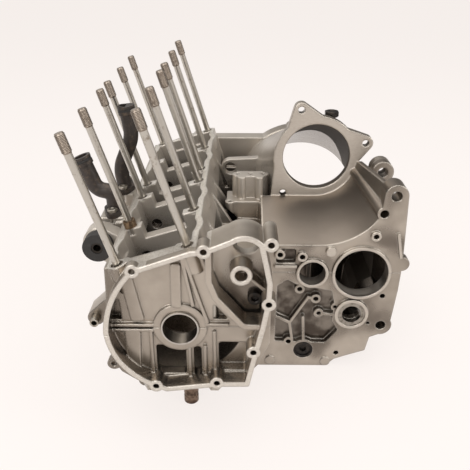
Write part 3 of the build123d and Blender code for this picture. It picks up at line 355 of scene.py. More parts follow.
@dataclass
class CastSurface:
    """The castings' regions as masks that are 1 inside, and the noises that their looks share."""

    graph: Graph
    edge_radius: float
    square_on: float = 0.97
    hair: float = 0.25 * MM
    near_faces: tuple[float, ...] = (COVER_Y, COVER_Y + 12.5 * MM, GEARBOX_Y - 4.0 * MM, RING_Y)
    bores: tuple[Bore, ...] = (
        Bore(0.0, 0.0, 19.8 * MM), Bore(204.0 * MM, 0.0, 31.5 * MM), Bore(146.0 * MM, 0.0, 15.7 * MM),
    )
    trough_y: Span = Span(GEARBOX_Y, RING_Y, 2.0 * MM)
    trough_floor: float = 15.0 * MM
    bay_height: Range = (10.0 * MM, 50.0 * MM)
    bay_x: Range = (108.0 * MM, 95.0 * MM)
    bay_y: Range = (-190.0 * MM, -170.0 * MM)
    hall_y: float = RING_Y + 0.5 * MM
    high_z: Range = (25.0 * MM, 70.0 * MM)
    recess_x: Span = Span(92.0 * MM, 224.0 * MM, 8.0 * MM)
    recess_y: Span = Span(GEARBOX_Y, GEARBOX_Y + 16.0 * MM, 2.0 * MM)
    recess_top: float = 30.0 * MM
    well_x: Range = (-30.0 * MM, -72.0 * MM)
    well_y: Span = Span(COVER_Y, -175.0 * MM, 8.0 * MM)
    well_z: Range = (-10.0 * MM, -90.0 * MM)
    well_side: float = 0.8
    pocket_x: Span = Span(35.0 * MM, 104.0 * MM, 20.0 * MM)
    pocket_y: Span = Span(-204.0 * MM, -130.0 * MM, 20.0 * MM)
    pocket_z: Span = Span(-30.0 * MM, 85.0 * MM, 30.0 * MM)
    flange_y: float = GEARBOX_Y - 10.0 * MM
    smear_x: float = 92.0 * MM
    smear_y: Span = Span(GEARBOX_Y - 6.0 * MM, GEARBOX_Y + 3.0 * MM, 1.0 * MM)
    outward: float = 30.0 * MM
    inward: float = 10.0 * MM
    corner_reach: float = 22.0 * MM
    corner_shade: Range = (0.25, 0.85)
    high_unshaded: float = 0.75
    room_reach: float = 300.0 * MM
    room_shade: Range = (0.70, 0.94)
    high_open: float = 0.85
    lining_shade: Range = (0.25, 0.45)
    roof_slope: Range = (0.05, 0.5)
    edge_bend: Range = (0.12, 0.55)
    clouds_grain: Grain = Grain(14.0, 3.0, 0.5)
    blotch_grain: Grain = Grain(60.0, 3.0, 0.55)
    speck_grain: Grain = Grain(900.0, 2.0, 0.6)
    marks_grain: Grain = Grain(260.0, 2.0, 0.5, (1.0, 1.0, 6.0))

    def __post_init__(self) -> None:
        """Adds the nodes that several masks read."""
        graph = self.graph
        self.x, self.y, self.z = graph.axes(graph.place)
        self.height = graph.along(graph.place, Facing.DECK.value)
        self.normal = graph.normal()
        self.normal_x, _, self.normal_z = graph.axes(self.normal)
        self.rounded = graph.soft_edges(self.edge_radius)
        self.clouds = graph.noise(self.clouds_grain)
        self.blotch = graph.noise(self.blotch_grain)
        self.speck = graph.noise(self.speck_grain)
        self.marks = graph.noise(self.marks_grain)
        self.gearbox = self.x > GEARBOX_X
        self.faced = self._faced()
        self.bored = self._bored()
        self.cut = self.faced.most(self.bored)
        self.trough = self.trough_y.mask(self.y) * self.gearbox * (self.z > self.trough_floor)
        bay = self.height.ramp(*self.bay_height) * self.x.ramp(*self.bay_x)
        self.bays = bay * self.y.ramp(*self.bay_y)
        self.hall = (self.y > self.hall_y) * self.gearbox
        self.high = self.z.ramp(*self.high_z) * (1.0 - self.hall)
        self.corners = self._corners()
        # inside is painted shade: darker the more a place is closed in, less on the upper parts
        self.closed = graph.shade(self.room_reach)
        self.inside = self.closed.ramp(*self.room_shade) * (1.0 - self.high * self.high_open)
        recess = self.recess_y.mask(self.y) * (self.z < self.recess_top)
        self.recess = recess * self.recess_x.mask(self.x)
        self.lining = self._lining()

    def _faced(self) -> Value:
        """1 on faces that a cutter has made flat."""
        near, far, deck = (
            self.graph.along(self.normal, side.value) > self.square_on
            for side in (Facing.NEAR, Facing.FAR, Facing.DECK)
        )
        faces = (deck * self._at(self.height, DECK_HEIGHT)).most(far * self._at(self.y, -COVER_Y))
        for level in self.near_faces:
            faces = faces.most(near * self._at(self.y, level))
        return faces

    def _at(self, value: Value, level: float) -> Value:
        """1 within a hair of a level."""
        return (value - level).size() < self.hair

    def _bored(self) -> Value:
        """1 in the bored holes."""
        first, *others = (bore.mask(self.x, self.z) for bore in self.bores)
        for other in others:
            first = first.most(other)
        return first

    def _corners(self) -> Value:
        """Painted shade and patchy oil in corners, less on the upper parts."""
        tight = self.graph.shade(self.corner_reach).ramp(*self.corner_shade)
        return tight * (0.5 + self.clouds * 0.6) * (1.0 - self.high * self.high_unshaded)

    def _lining(self) -> Value:
        """1 on the walls inside the alternator's housing."""
        ring_x, ring_z = RING_CENTRE
        towards = self.normal_x * (ring_x - self.x) + self.normal_z * (ring_z - self.z)
        return self.hall * (towards > self.inward) * self.closed.ramp(*self.lining_shade)

    def roof(self) -> Value:
        """1 on the gearbox roof under the trough."""
        return self.trough * self.graph.along(self.normal, Facing.UP.value).ramp(*self.roof_slope)

    def _inner(self) -> Value:
        """1 on faces that don't look away from the crank."""
        return (self.normal_x * self.x + self.normal_z * self.z) < self.outward

    def well(self) -> Value:
        """1 low and left behind the near cover's flange."""
        low = self.z.ramp(*self.well_z).most(self.x.ramp(*self.well_x) * self.well_side)
        return low * self.well_y.mask(self.y) * self._inner()

    def pocket(self) -> Value:
        """1 in the idler's pocket."""
        span = self.pocket_x.mask(self.x) * self.pocket_z.mask(self.z)
        return span * self.pocket_y.mask(self.y) * self._inner()

    def smeared(self) -> Value:
        """1 on the gearbox's near face."""
        return (self.x > self.smear_x) * self.smear_y.mask(self.y)

    def beyond_flange(self) -> Value:
        """1 on the gearbox side past the near flange."""
        return (self.y > self.flange_y) * self.gearbox

    def edges_rubbed_and_highlit(self) -> Value:
        """1 on edges, where the rounded direction leaves the flat one."""
        return self.graph.apart(self.rounded, self.normal).ramp(*self.edge_bend)


@dataclass(frozen=True)
class CastFinish:
    """Cast and blasted aluminium with cut faces, oil and painted shade in hollows, painted light in the bays,
    and rubbed edges with painted highlights.
    """

    name: str = "cast_aluminium"
    light: Colour = (0.49, 0.435, 0.372)
    dark: Colour = (0.355, 0.31, 0.262)
    cut: Colour = (0.68, 0.64, 0.58)
    bored: Colour = (0.46, 0.42, 0.375)
    # Colour of the painted shade on the trough and the roof under it
    brown: Colour = (0.235, 0.20, 0.168)
    # Colour of oil, and of the painted shade in corners, hollows and interiors
    oil_and_shade: Colour = (0.052, 0.038, 0.028)
    edge_radius: float = 3.0 * MM
    metallic: float = 0.92
    cast_rough: float = 0.29
    cut_rough: float = 0.27
    grain: float = 0.035 * MM
    swell: float = 0.8 * MM
    bay_painted_light: float = 0.3
    bay_dull: float = 0.35
    trough_painted_shade: float = 0.45
    trough_rough: float = 0.06
    roof_painted_shade: float = 0.95
    corner_shade_and_oil: float = 0.65
    corner_face_shade: float = 0.35
    room_painted_shade: float = 0.85
    recess_oil_and_shade: Range = (0.56, 0.42)
    recess_dull: float = 0.3
    well_darkening: Range = (0.35, 0.7)
    pocket_painted_shade: Range = (0.5, 0.3)
    lining_painted_shade: float = 0.8
    lining_rough: float = 0.5
    lining_dull: float = 0.5
    smear_oil: float = 0.68
    oil_gloss: float = 0.17
    bored_painted_shade: float = 0.6
    edge_wear_and_highlight: Range = (0.15, 0.35)
    marks_light: float = 0.6
    marks_rough: float = 0.1
    gearbox_light: float = 0.65
    speck_rough: float = 0.10
    waves_least: float = 0.4
    stains: Grain = Grain(38.0, 3.0, 0.55)
    smears: Grain = Grain(21.0, 2.0, 0.4)
    coarse: Grain = Grain(420.0, 3.0, 0.6)
    waves: Grain = Grain(42.0, 2.0, 0.4)

    def _oil_and_shade(self, surface: CastSurface) -> Value:
        """How much oil and painted shade lie on each place.

        Args:
            surface: The castings' masks.

        Returns:
            The share of oil and painted shade.
        """
        stains = surface.graph.noise(self.stains).ramp(0.38, 0.62)
        smears = surface.graph.noise(self.smears).ramp(0.42, 0.70)
        # Painted shade and oil in the corners
        oiled_and_shaded = surface.corners * self.corner_shade_and_oil
        for more in (
            # Painted shade deep inside the closed castings
            surface.inside * self.room_painted_shade,
            # Oil stains and painted shade in the gearbox's recess
            surface.recess * (self.recess_oil_and_shade[0] + stains * self.recess_oil_and_shade[1]),
            # Darker low and to the left inside the near cover
            surface.well() * (self.well_darkening[0] + surface.clouds * self.well_darkening[1]),
            # Painted shade in the idler's pocket, darker deeper in
            surface.pocket() * (self.pocket_painted_shade[0] + surface.blotch * self.pocket_painted_shade[1]),
            # Painted shade on the housing's inner walls, darker than their bright reflection
            surface.lining * self.lining_painted_shade,
            surface.smeared() * smears * self.smear_oil,
        ):
            oiled_and_shaded = oiled_and_shaded.most(more)
        return oiled_and_shaded

    def _colour(self, surface: CastSurface, oiled_and_shaded: Value) -> Value:
        """Colour of the cast skin with its painted light, shade and highlights, the oil on it, and the cut
        faces.

        Args:
            surface: The castings' masks.
            oiled_and_shaded: The share of oil and painted shade.

        Returns:
            The colour.
        """
        graph, blotch, marks = surface.graph, surface.blotch, surface.marks
        patches = (surface.clouds * 0.75 + blotch * 0.25).ramp(0.3, 0.7)
        base = graph.tint(self.dark, self.light, patches)
        # Painted light: the deck's shaded bays lightened towards the cut colour
        base = graph.tint(base, self.cut, surface.bays * self.bay_painted_light)
        # Painted shade: the trough and its roof darkened brown against their bright reflection
        brown = (surface.trough * self.trough_painted_shade).most(surface.roof() * self.roof_painted_shade)
        base = graph.tint(base, self.brown, brown)
        # Oil and painted shade darken the skin
        base = graph.tint(base, self.oil_and_shade, oiled_and_shaded)
        # Edges lightened for wear and as painted highlights, most in the recess
        least, more = self.edge_wear_and_highlight
        worn = surface.edges_rubbed_and_highlit() * (least + blotch * more + surface.recess * more)
        base = graph.tint(base, self.cut, worn * (1.0 - surface.inside))
        # Machining marks, and painted shade where the cut faces run into corners
        marks_and_shade = marks.ramp(0.42, 0.7) * self.marks_light + surface.corners * self.corner_face_shade
        face = graph.tint(self.cut, self.light, marks_and_shade)
        face = graph.tint(face, self.light, surface.beyond_flange() * self.gearbox_light)
        base = graph.tint(base, face, surface.faced)
        # Painted shade deep inside the bores
        bored = graph.tint(self.bored, self.oil_and_shade, surface.inside * self.bored_painted_shade)
        return graph.tint(base, bored, surface.bored)

    def _rough(self, surface: CastSurface, oiled_and_shaded: Value) -> Value:
        """Roughness: less under oil and painted shade, more in the dull housing.

        Args:
            surface: The castings' masks.
            oiled_and_shaded: The share of oil and painted shade.

        Returns:
            The roughness.
        """
        cast = self.cast_rough + surface.speck * self.speck_rough + surface.trough * self.trough_rough
        cast = cast - oiled_and_shaded * self.oil_gloss + surface.lining * self.lining_rough
        faced = self.cut_rough + surface.marks * self.marks_rough
        return cast * (1.0 - surface.cut) + faced * surface.cut

    def _direction(self, surface: CastSurface) -> Value:
        """Surface direction: rounded edges, the swell of the casting, and its grain.

        Args:
            surface: The castings' masks.

        Returns:
            The bent direction.
        """
        graph, skin = surface.graph, 1.0 - surface.cut
        relief = (graph.noise(self.coarse) * 0.7 + surface.speck * 0.3) * skin + 0.5 * surface.cut
        swollen = self.waves_least + surface.recess * (1.0 - self.waves_least)
        waves = graph.noise(self.waves) * swollen * skin
        return graph.bump(relief, self.grain, graph.bump(waves, self.swell, surface.rounded))

    def material(self) -> bpy.types.Material:
        """Builds the material.

        Returns:
            The material.
        """
        graph = Graph.named(self.name)
        surface = CastSurface(graph, self.edge_radius)
        oiled_and_shaded = self._oil_and_shade(surface)
        metallic = self.metallic - surface.bays * self.bay_dull
        metallic = metallic - surface.lining * self.lining_dull - surface.recess * self.recess_dull
        return graph.finish({
            "Base Color": self._colour(surface, oiled_and_shaded),
            "Metallic": metallic,
            "Roughness": self._rough(surface, oiled_and_shaded),
            "Normal": self._direction(surface),
        })


@dataclass(frozen=True)
class MetalFinish:
    """Bare metal with stains.

    amount says how much of it is stained, and an edge of 0 leaves the edges as they are.
    """

    name: str
    clean: Colour
    stain: Colour
    amount: float
    rough: float
    patch: Grain = Grain(160.0, 4.0, 0.65)
    fine: Grain = Grain(1440.0, 2.0, 0.5)
    grain: float = 0.006 * MM
    edge: float = 0.35 * MM
    stained_rough: float = 0.22
    stained: float = 0.9
    spread: Range = (0.62, 0.78)
    widening: Range = (0.4, 0.3)
    fine_spread: Range = (0.55, 0.8)

    def material(self) -> bpy.types.Material:
        """Builds the material.

        Returns:
            The material.
        """
        graph = Graph.named(self.name)
        patch = graph.noise(self.patch)
        fine = graph.noise(self.fine)
        low, high = (edge - self.amount * share for edge, share in zip(self.spread, self.widening))
        mask = patch.ramp(low, high)
        base = graph.tint(self.clean, self.stain, mask * self.stained)
        base = graph.tint(base, self.stain, fine.ramp(*self.fine_spread) * self.amount)
        return graph.finish({
            "Base Color": base,
            "Metallic": 1.0,
            "Roughness": self.rough + mask * self.stained_rough,
            "Normal": graph.bump(fine, self.grain, graph.soft_edges(self.edge) if self.edge else None),
        })


@dataclass(frozen=True)
class DullFinish:
    """Rubber, and paint that has aged."""

    name: str
    colour: Colour
    worn: Colour
    rough: float
    patch: Grain = Grain(120.0, 5.0, 0.7)
    fine: Grain = Grain(1500.0, 2.0, 0.6)
    grain: float = 0.05 * MM
    edge: float = 0.5 * MM
    wear: float = 0.4
    fine_wear: float = 0.2
    patch_rough: float = 0.15
    metallic: float = 0.0

    def material(self) -> bpy.types.Material:
        """Builds the material.

        Returns:
            The material.
        """
        graph = Graph.named(self.name)
        patch = graph.noise(self.patch)
        fine = graph.noise(self.fine)
        mask = patch.ramp(0.5, 0.72) * self.wear
        base = graph.tint(self.colour, self.worn, mask + fine.ramp(0.5, 0.8) * self.fine_wear)
        return graph.finish({
            "Base Color": base,
            "Metallic": self.metallic,
            "Roughness": self.rough + patch * self.patch_rough,
            "Normal": graph.bump(fine * 0.6 + patch * 0.4, self.grain, graph.soft_edges(self.edge)),
        })


class Workshop:
    """Small helpers that turn a bmesh into a piece of the object."""

    @staticmethod
    def lathe(bm: bmesh.types.BMesh, outline: Sequence[tuple[float, float]], steps: int) -> None:
        """Spins an outline of radius and height into a closed body round Z.

        Args:
            bm: The mesh to add to.
            outline: Radius and height, from the bottom of the axis to its top.
            steps: Facets round the axis.
        """
        rim = [bm.verts.new((radius, 0.0, height)) for radius, height in outline]
        edges = [bm.edges.new(pair) for pair in zip(rim, rim[1:])]
        bmesh.ops.spin(
            bm, geom=rim + edges, cent=(0, 0, 0), axis=(0, 0, 1), dvec=(0, 0, 0), angle=2 * pi, steps=steps,
            use_merge=True,
        )
        bmesh.ops.remove_doubles(bm, verts=bm.verts, dist=1e-6)
        bmesh.ops.recalc_face_normals(bm, faces=bm.faces)

    @staticmethod
    def rings(bm: bmesh.types.BMesh, outline: Sequence[Ring], steps: int = 48) -> list[bmesh.types.BMVert]:
        """Extrudes a circle from ring to ring into a closed body round Z.

        Args:
            bm: The mesh to add to.
            outline: Inner radius, height and number of sides of each ring, 0 sides for a round one.
            steps: Points in a ring.

        Returns:
            The body's vertices.
        """
        rim = bmesh.ops.create_circle(bm, cap_ends=True, radius=outline[0][0], segments=steps)["verts"]
        edges = list({edge for vert in rim for edge in vert.link_edges})
        body = list(rim)
        for number, (radius, height, sides) in enumerate(outline):
            if number:
                grown = bmesh.ops.extrude_edge_only(bm, edges=edges)["geom"]
                rim = [part for part in grown if isinstance(part, bmesh.types.BMVert)]
                fresh = set(rim)
                edges = [
                    part for part in grown
                    if isinstance(part, bmesh.types.BMEdge) and fresh.issuperset(part.verts)
                ]
                body += rim
            for vert in rim:
                angle = atan2(vert.co.y, vert.co.x)
                reach = radius
                if sides:
                    side = 2 * pi / sides
                    reach = radius / cos((angle + side / 2) % side - side / 2)
                vert.co = (reach * cos(angle), reach * sin(angle), height)
        bmesh.ops.contextual_create(bm, geom=edges)
        bmesh.ops.recalc_face_normals(bm, faces=bm.faces)
        return body

    @staticmethod
    def standing(place: Point, turn: Turn) -> Matrix:
        """Matrix that turns a fitting's Z and moves it to its place."""
        return Matrix.Translation(place) @ Matrix.Rotation(turn.value, 4, "X")

    @staticmethod
    def piece(
        bm: bmesh.types.BMesh, name: str, place: Matrix, materials: Sequence[bpy.types.Material], slot: str,
        node: str, smooth: float = 35.0,
    ) -> bpy.types.Object:
        """Makes the finished object from a bmesh.

        Args:
            bm: The mesh, which is freed.
            name: The piece's name.
            place: Where the mesh goes.
            materials: Its materials, in the order of its faces' numbers.
            slot: The record's material slot; not used.
            node: The CAD node that it stands for.
            smooth: Edges sharper than this many degrees stay sharp.

        Returns:
            The object.
        """
        bmesh.ops.transform(bm, matrix=place, verts=bm.verts)
        for face in bm.faces:
            face.smooth = True
        for edge in bm.edges:
            edge.smooth = len(edge.link_faces) == 2 and edge.calc_face_angle(0.0) < radians(smooth)
        mesh = bpy.data.meshes.new(name)
        bm.to_mesh(mesh)
        bm.free()
        thing = bpy.data.objects.new(name, mesh)
        bpy.context.scene.collection.objects.link(thing)
        for material in materials:
            mesh.materials.append(material)
        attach(thing, "root")
        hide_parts(node)
        return thing


@dataclass
class Studs:
    """The twelve cylinder studs with their threaded ends."""

    length: float = 138.0 * MM
    depth: float = 24.0 * MM
    thread: float = 19.0 * MM
    shank_radius: float = 4.0 * MM
    thread_radius: float = 5.0 * MM
    case_radius: float = 4.5 * MM
    neck: Range = (-3.1 * MM, -2.9 * MM)
    runout: float = 1.2 * MM
    tip: float = 1.4 * MM
    pitch: float = 1.25 * MM
    crest: Range = (0.45, 0.58)
    ridge: float = 0.55 * MM
    chamfer: Range = (0.2 * MM, 0.8 * MM)
    chamfer_height: float = 0.3 * MM
    steps: int = 28
    turn_apart: float = 1.3
    smooth: float = 50.0
    shank_finish: MetalFinish = MetalFinish(
        "stud_shank", (0.54, 0.51, 0.46), (0.30, 0.25, 0.20), 0.12, 0.30, edge=0.0)
    thread_finish: MetalFinish = MetalFinish(
        "stud_thread", (0.33, 0.28, 0.235), (0.22, 0.175, 0.14), 0.2, 0.42, edge=0.0)

    def _outline(self) -> list[tuple[float, float]]:
        """Radius and height from the foot in the casting to the chamfered top.

        Returns:
            The outline.
        """
        low = -self.depth
        root = self.thread_radius - self.ridge
        start = self.length - self.thread
        turns = int((self.thread - self.tip) / self.pitch)
        rim = [(0.0, low), (self.case_radius, low), (self.case_radius, self.neck[0]),
               (self.shank_radius, self.neck[1]), (self.shank_radius, start - self.runout)]
        for turn in range(turns):
            base = start + turn * self.pitch
            rim += [(root, base)] + [(self.thread_radius, base + share * self.pitch) for share in self.crest]
        rim += [(root, start + turns * self.pitch),
                (root - self.chamfer[0], self.length - self.chamfer_height),
                (root - self.chamfer[1], self.length), (0.0, self.length)]
        return rim

    def build(self) -> list[bpy.types.Object]:
        """Builds the studs.

        Returns:
            The pieces.
        """
        made = []
        finishes = [self.shank_finish.material(), self.thread_finish.material()]
        limit = self.length - self.thread - self.runout / 2
        for row, row_name in ((-1, "front"), (1, "rear")):
            across = Matrix.Translation((row * STUD_ROWS / 2, 0.0, DECK_HEIGHT))
            for number, y in enumerate(STUD_PLANES, start=1):
                bm = bmesh.new()
                Workshop.lathe(bm, self._outline(), self.steps)
                for face in bm.faces:
                    face.material_index = int(face.calc_center_median().z > limit)
                lean = Matrix.Translation((0.0, y, 0.0)) @ Matrix.Rotation(-LEAN, 4, "Y")
                place = lean @ across @ Matrix.Rotation(number * self.turn_apart + row, 4, "Z")
                node = f"stud_{row_name}_{number}"
                name = f"threaded_{node}"
                made.append(Workshop.piece(bm, name, place, finishes, "stud", node, self.smooth))
        return made


@dataclass(frozen=True)
class Bolts:
    """One set of hex head bolts, each with its head along its own Z.

    From washer on, the fields are shares: of half the head's width where the name ends in reach, and
    otherwise of its height. Each bolt is turned a little further than the last.
    """

    node: str
    slot: str
    finish: MetalFinish
    across: float
    head: float
    size: float
    shank: float
    places: tuple[Point, ...]
    collar: float = 0.0
    turn: Turn = Turn.UP
    washer: float = 0.14
    washer_reach: float = 0.98
    neck_reach: float = 0.93
    shoulder: float = 0.9
    chamfer: float = 0.96
    dish: float = 0.88
    dish_reach: Range = (0.5, 0.42)
    turn_apart: float = 0.7

    def outline(self) -> list[Ring]:
        """Rings from the tip of the shank to the dished top of the head.

        Returns:
            Radius, height and sides of each ring.
        """
        flat, bolt, seat = self.across / 2, self.size / 2, self.collar
        washer = self.washer * self.head
        wide, neck = flat * self.washer_reach, flat * self.neck_reach
        rim, dish = (flat * reach for reach in self.dish_reach)
        return [
            (bolt * 0.8, -self.shank, 0), (bolt, bolt * 0.2 - self.shank, 0), (bolt, seat, 0),
            (wide, seat, 0), (wide, seat + washer, 0), (neck, seat + washer, 0),
            (flat, seat + washer * 1.2, 6), (flat, seat + self.head * self.shoulder, 6),
            (flat * 0.99, seat + self.head * self.chamfer, 12), (neck, seat + self.head, 0),
            (rim, seat + self.head, 0), (dish, seat + self.head * self.shoulder, 0),
            (flat * 0.0004, seat + self.head * self.dish, 0),
        ]

    def build(self) -> bpy.types.Object:
        """Builds every bolt of the set in one mesh.

        Returns:
            The piece.
        """
        bm = bmesh.new()
        for number, place in enumerate(self.places):
            spun = Workshop.standing(place, self.turn) @ Matrix.Rotation(self.turn_apart * number, 4, "Z")
            bmesh.ops.transform(bm, matrix=spun, verts=Workshop.rings(bm, self.outline()))
        finishes = [self.finish.material()]
        return Workshop.piece(bm, f"made_{self.node}", Matrix.Identity(4), finishes, self.slot, self.node)


@dataclass(frozen=True)
class Turned:
    """One turned part, with its rings in millimetres along its own Z."""

    node: str
    slot: str
    finish: MetalFinish
    place: Point
    turn: Turn
    outline: tuple[Ring, ...]

    def build(self) -> bpy.types.Object:
        """Builds the part.

        Returns:
            The piece.
        """
        bm = bmesh.new()
        Workshop.rings(bm, [(radius * MM, height * MM, sides) for radius, height, sides in self.outline])
        place = Workshop.standing(self.place, self.turn)
        finishes = [self.finish.material()]
        return Workshop.piece(bm, f"made_{self.node}", place, finishes, self.slot, self.node)


ZINC = MetalFinish("zinc_bolt", (0.42, 0.39, 0.34), (0.20, 0.16, 0.12), 0.4, 0.36)
BLACK = MetalFinish("black_bolt", (0.034, 0.031, 0.029), (0.075, 0.064, 0.054), 0.4, 0.38)
BROWN = MetalFinish("brown_valve", (0.22, 0.155, 0.115), (0.09, 0.06, 0.045), 0.5, 0.4)


@dataclass(frozen=True)
class Fittings:
    """Bolts, plugs and valve."""

    flange_bolts: Bolts = Bolts(
        "pipe_flange_bolts", "fastener", ZINC,
        across=9.96 * MM, head=4.2 * MM, size=6.0 * MM, shank=14.0 * MM,
        places=((-85.0 * MM, -51.0 * MM, 76.0 * MM), (-85.0 * MM, -81.0 * MM, 76.0 * MM),
                (-84.0 * MM, 15.0 * MM, 78.0 * MM), (-84.0 * MM, -15.0 * MM, 78.0 * MM)),
    )
    ring_bolt: Bolts = Bolts(
        "ring_hex_bolt", "dark_fastener", BLACK,
        across=16.0 * MM, head=7.0 * MM, size=10.0 * MM, shank=6.0 * MM,
        places=((172.5 * MM, 28.5 * MM, 153.0 * MM),), collar=5.0 * MM,
    )
    rear_bolts: Bolts = Bolts(
        "rear_case_bolts", "fastener", ZINC,
        across=12.0 * MM, head=5.6 * MM, size=8.0 * MM, shank=28.0 * MM,
        places=tuple((252.0 * MM, y * MM, -14.0 * MM) for y in (-48.0, 8.0, 62.0)), turn=Turn.DOWN,
    )
    gallery_plug: Turned = Turned(
        "oil_gallery_plug", "fastener", BLACK, (76.0 * MM, -182.0 * MM, 28.0 * MM), Turn.NEAR, (
            (5.5, -6.0, 0), (5.5, 0.0, 0), (7.5, 0.0, 0), (7.5, 6.2, 0), (6.9, 7.0, 0), (4.4, 7.0, 0),
            (4.0, 6.6, 0), (3.33, 6.4, 6), (3.33, 2.5, 6), (0.01, 2.2, 0),
        ),
    )
    face_plug: Turned = Turned(
        "gearbox_face_plug", "dark_fastener", BLACK, (140.4 * MM, GEARBOX_Y, -112.0 * MM), Turn.NEAR, (
            (12.0, -8.9, 0), (12.0, -0.5, 0), (11.5, 0.0, 0), (10.1, 0.0, 0), (9.6, -0.5, 0), (9.5, -2.0, 0),
            (5.6, -2.0, 0), (5.2, -2.3, 0), (4.0, -2.6, 6), (4.0, -6.0, 6), (0.01, -6.4, 0),
        ),
    )
    relief_valve: Turned = Turned(
        "oil_relief_valve", "dowel", BROWN, (4.0 * MM, -150.5 * MM, -136.0 * MM), Turn.UP, (
            (0.01, 4.0, 0), (5.2, 4.0, 0), (5.5, 0.4, 0), (5.9, 0.0, 0), (7.6, 0.0, 0), (8.5, 1.0, 0),
            (8.5, 9.0, 0), (7.6, 9.8, 0), (7.6, 12.2, 0), (8.5, 13.0, 0), (8.5, 30.0, 0), (7.9, 30.8, 0),
            (7.9, 33.0, 0), (8.5, 33.8, 0), (8.5, 67.9, 0), (0.01, 67.9, 0),
        ),
    )

    def build(self) -> list[bpy.types.Object]:
        """Builds them all.

        Returns:
            The pieces.
        """
        sets = (self.flange_bolts, self.ring_bolt, self.rear_bolts,
                self.gallery_plug, self.face_plug, self.relief_valve)
        return [each.build() for each in sets]


@dataclass(frozen=True)
class Castings:
    """The two castings and the CAD pieces that keep their own shape."""

    cast: CastFinish = CastFinish()
    steel: MetalFinish = MetalFinish(
        "zinc_steel", (0.46, 0.43, 0.38), (0.22, 0.17, 0.12), 0.35, 0.33)
    shell: MetalFinish = MetalFinish(
        "bearing_shell", (0.50, 0.47, 0.43), (0.26, 0.22, 0.18), 0.12, 0.28)
    brown: MetalFinish = MetalFinish(
        "brown_steel", (0.28, 0.20, 0.13), (0.10, 0.065, 0.04), 0.55, 0.42)
    sleeve: MetalFinish = MetalFinish(
        "dark_steel", (0.045, 0.04, 0.036), (0.08, 0.065, 0.05), 0.4, 0.4)
    seal: MetalFinish = MetalFinish(
        "seal_case", (0.34, 0.31, 0.27), (0.12, 0.10, 0.08), 0.4, 0.32)
    pipe: DullFinish = DullFinish(
        "brown_black_pipe", (0.040, 0.032, 0.028), (0.12, 0.085, 0.06), 0.38, wear=0.8, metallic=0.35)
    rubber: DullFinish = DullFinish("rubber", (0.022, 0.020, 0.019), (0.06, 0.055, 0.05), 0.58)

    def dress(self, nodes: dict[str, bpy.types.Object]) -> None:
        """Gives each carried-over node its finish.

        Args:
            nodes: The CAD nodes by name.
        """
        wearers = {
            self.cast: ("upper_crankcase", "lower_crankcase"),
            self.brown: ("cylinder_dowel",),
            self.shell: ("main_shells_upper", "main_shells_lower"),
            self.steel: ("crankcase_bolts", "case_dowels", "hose_union"),
            self.rubber: ("mount_bush", "pipe_o_rings"),
            self.sleeve: ("mount_bush_sleeve",),
            self.pipe: ("coolant_pipe_side", "coolant_pipe_centre"),
            self.seal: ("shift_shaft_seal",),
        }
        for finish, names in wearers.items():
            material = finish.material()
            for name in names:
                slots = nodes[name].data.materials
                slots.clear()
                slots.append(material)
                log.info("dressed %s", name)


@dataclass(frozen=True)
class Lamp:
    """A square area lamp, with its side in metres and its power in watts."""

    name: str
    place: Point
    target: Point
    size: float
    power: float
    colour: Colour = (1.0, 0.985, 0.965)

    def build(self) -> None:
        """Hangs the lamp and points it at its target."""
        light = bpy.data.lights.new(self.name, "AREA")
        light.shape = "SQUARE"
        light.size = self.size
        light.energy = self.power
        light.color = self.colour
        lamp = bpy.data.objects.new(self.name, light)
        bpy.context.scene.collection.objects.link(lamp)
        turn = (Vector(self.target) - Vector(self.place)).to_track_quat("-Z", "Y")
        lamp.matrix_world = Matrix.Translation(self.place) @ turn.to_matrix().to_4x4()


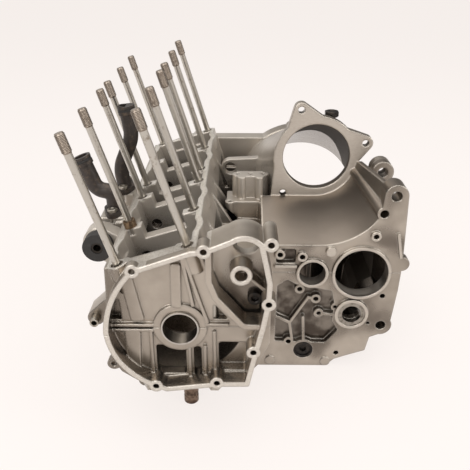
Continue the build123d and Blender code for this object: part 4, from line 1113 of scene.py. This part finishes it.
@dataclass
class Stage:
    """Floor, world, lamps and camera."""

    eye: Point = (62.0 * MM, -720.5 * MM, 358.0 * MM)
    pitch: float = 25.9
    yaw: float = 0.67
    lens: float = 47.1
    sensor: float = 36.0
    clip: Range = (0.05, 30.0)
    floor_z: float = -136.0 * MM
    floor_size: float = 6.0
    floor_colour: Colour = (0.93, 0.90, 0.88)
    floor_glow: float = 0.86
    white: Colour = (0.975, 0.915, 0.882)
    sky: Colour = (1.0, 0.97, 0.94)
    sky_seen: float = 0.93
    sky_low: float = 0.20
    sky_rise: float = 0.5
    sky_shadow: float = 0.55
    sky_shine: float = 0.45
    lamps: tuple[Lamp, ...] = (
        Lamp("top_lamp", (0.0, -0.1, 1.6), (0.05, 0.0, 0.0), 2.2, 24.0),
        Lamp("front_lamp", (-0.7, -1.5, 0.9), (0.08, -0.1, 0.0), 1.0, 13.0),
        Lamp("right_lamp", (1.5, -0.6, 0.8), (0.12, 0.0, 0.0), 0.9, 9.0),
    )

    def _floor(self) -> bpy.types.Object:
        """A wide, flat, pale floor.

        Returns:
            The floor.
        """
        bm = bmesh.new()
        low = Matrix.Translation((0, 0, self.floor_z))
        bmesh.ops.create_grid(bm, x_segments=1, y_segments=1, size=self.floor_size, matrix=low)
        mesh = bpy.data.meshes.new("floor")
        bm.to_mesh(mesh)
        bm.free()
        floor = bpy.data.objects.new("floor", mesh)
        bpy.context.scene.collection.objects.link(floor)
        graph = Graph.named("pale_floor")
        matte = graph.node("ShaderNodeBsdfDiffuse", {}, {"Color": _rgba(self.floor_colour)})
        glow = graph.node("ShaderNodeEmission", {}, {"Color": _rgba(self.white), "Strength": 1.0})
        share = self._seen(graph) * self.floor_glow
        graph.end(graph.node("ShaderNodeMixShader", {}, {0: share, 1: matte, 2: glow}))
        mesh.materials.append(graph.owner)
        return floor

    @staticmethod
    def _seen(graph: Graph) -> Value:
        """1 for what the camera sees, also in a mirror or through glass."""
        rays = graph.node("ShaderNodeLightPath", {}, {}).socket.node
        names = ("Is Camera Ray", "Is Glossy Ray", "Is Transmission Ray")
        camera, glossy, through = (Value(graph, rays.outputs[name]) for name in names)
        return camera.most(glossy).most(through)

    def _world(self) -> None:
        """A pale world, darker at the back right and brighter at the back left."""
        world = bpy.data.worlds.new("studio")
        bpy.context.scene.world = world
        graph = Graph(world)
        right, back, up = graph.axes(graph.node("ShaderNodeTexCoord", {}, {}, "Generated"))
        shadow = back.ramp(-0.3, 0.7) * right.ramp(-0.2, 0.4)
        shine = back.ramp(0.2, 0.9) * right.ramp(-0.05, -0.45)
        level = (self.sky_low + up.ramp(-0.1, 0.9) * self.sky_rise) * (1.0 - shadow * self.sky_shadow)
        level = level + shine * self.sky_shine
        light = graph.node("ShaderNodeBackground", {}, {"Color": _rgba(self.sky), "Strength": level})
        white = {"Color": _rgba(self.white), "Strength": self.sky_seen}
        seen = graph.node("ShaderNodeBackground", {}, white)
        camera = graph.node("ShaderNodeLightPath", {}, {}, "Is Camera Ray")
        sky = graph.node("ShaderNodeMixShader", {}, {0: camera, 1: light, 2: seen})
        graph.end(sky, "ShaderNodeOutputWorld")

    def _camera(self) -> None:
        """The camera at the photograph's place."""
        data = bpy.data.cameras.new("photo_camera")
        data.lens = self.lens
        data.sensor_width = self.sensor
        data.sensor_fit = "HORIZONTAL"
        data.clip_start, data.clip_end = self.clip
        camera = bpy.data.objects.new("photo_camera", data)
        bpy.context.scene.collection.objects.link(camera)
        camera.location = self.eye
        camera.rotation_euler = (radians(90.0 - self.pitch), 0.0, radians(self.yaw))
        bpy.context.scene.camera = camera

    def build(self) -> None:
        """Sets everything up round the object."""
        self._floor()
        self._world()
        self._camera()
        for lamp in self.lamps:
            lamp.build()
        bpy.context.scene.view_settings.view_transform = "Standard"


def main() -> None:
    """Builds and dresses everything in order."""
    Castings().dress(frame["nodes"])
    for thing in Studs().build() + Fittings().build():
        log.info("built %s", thing.name)
    Stage().build()


if __name__ == "__main__":
    main()
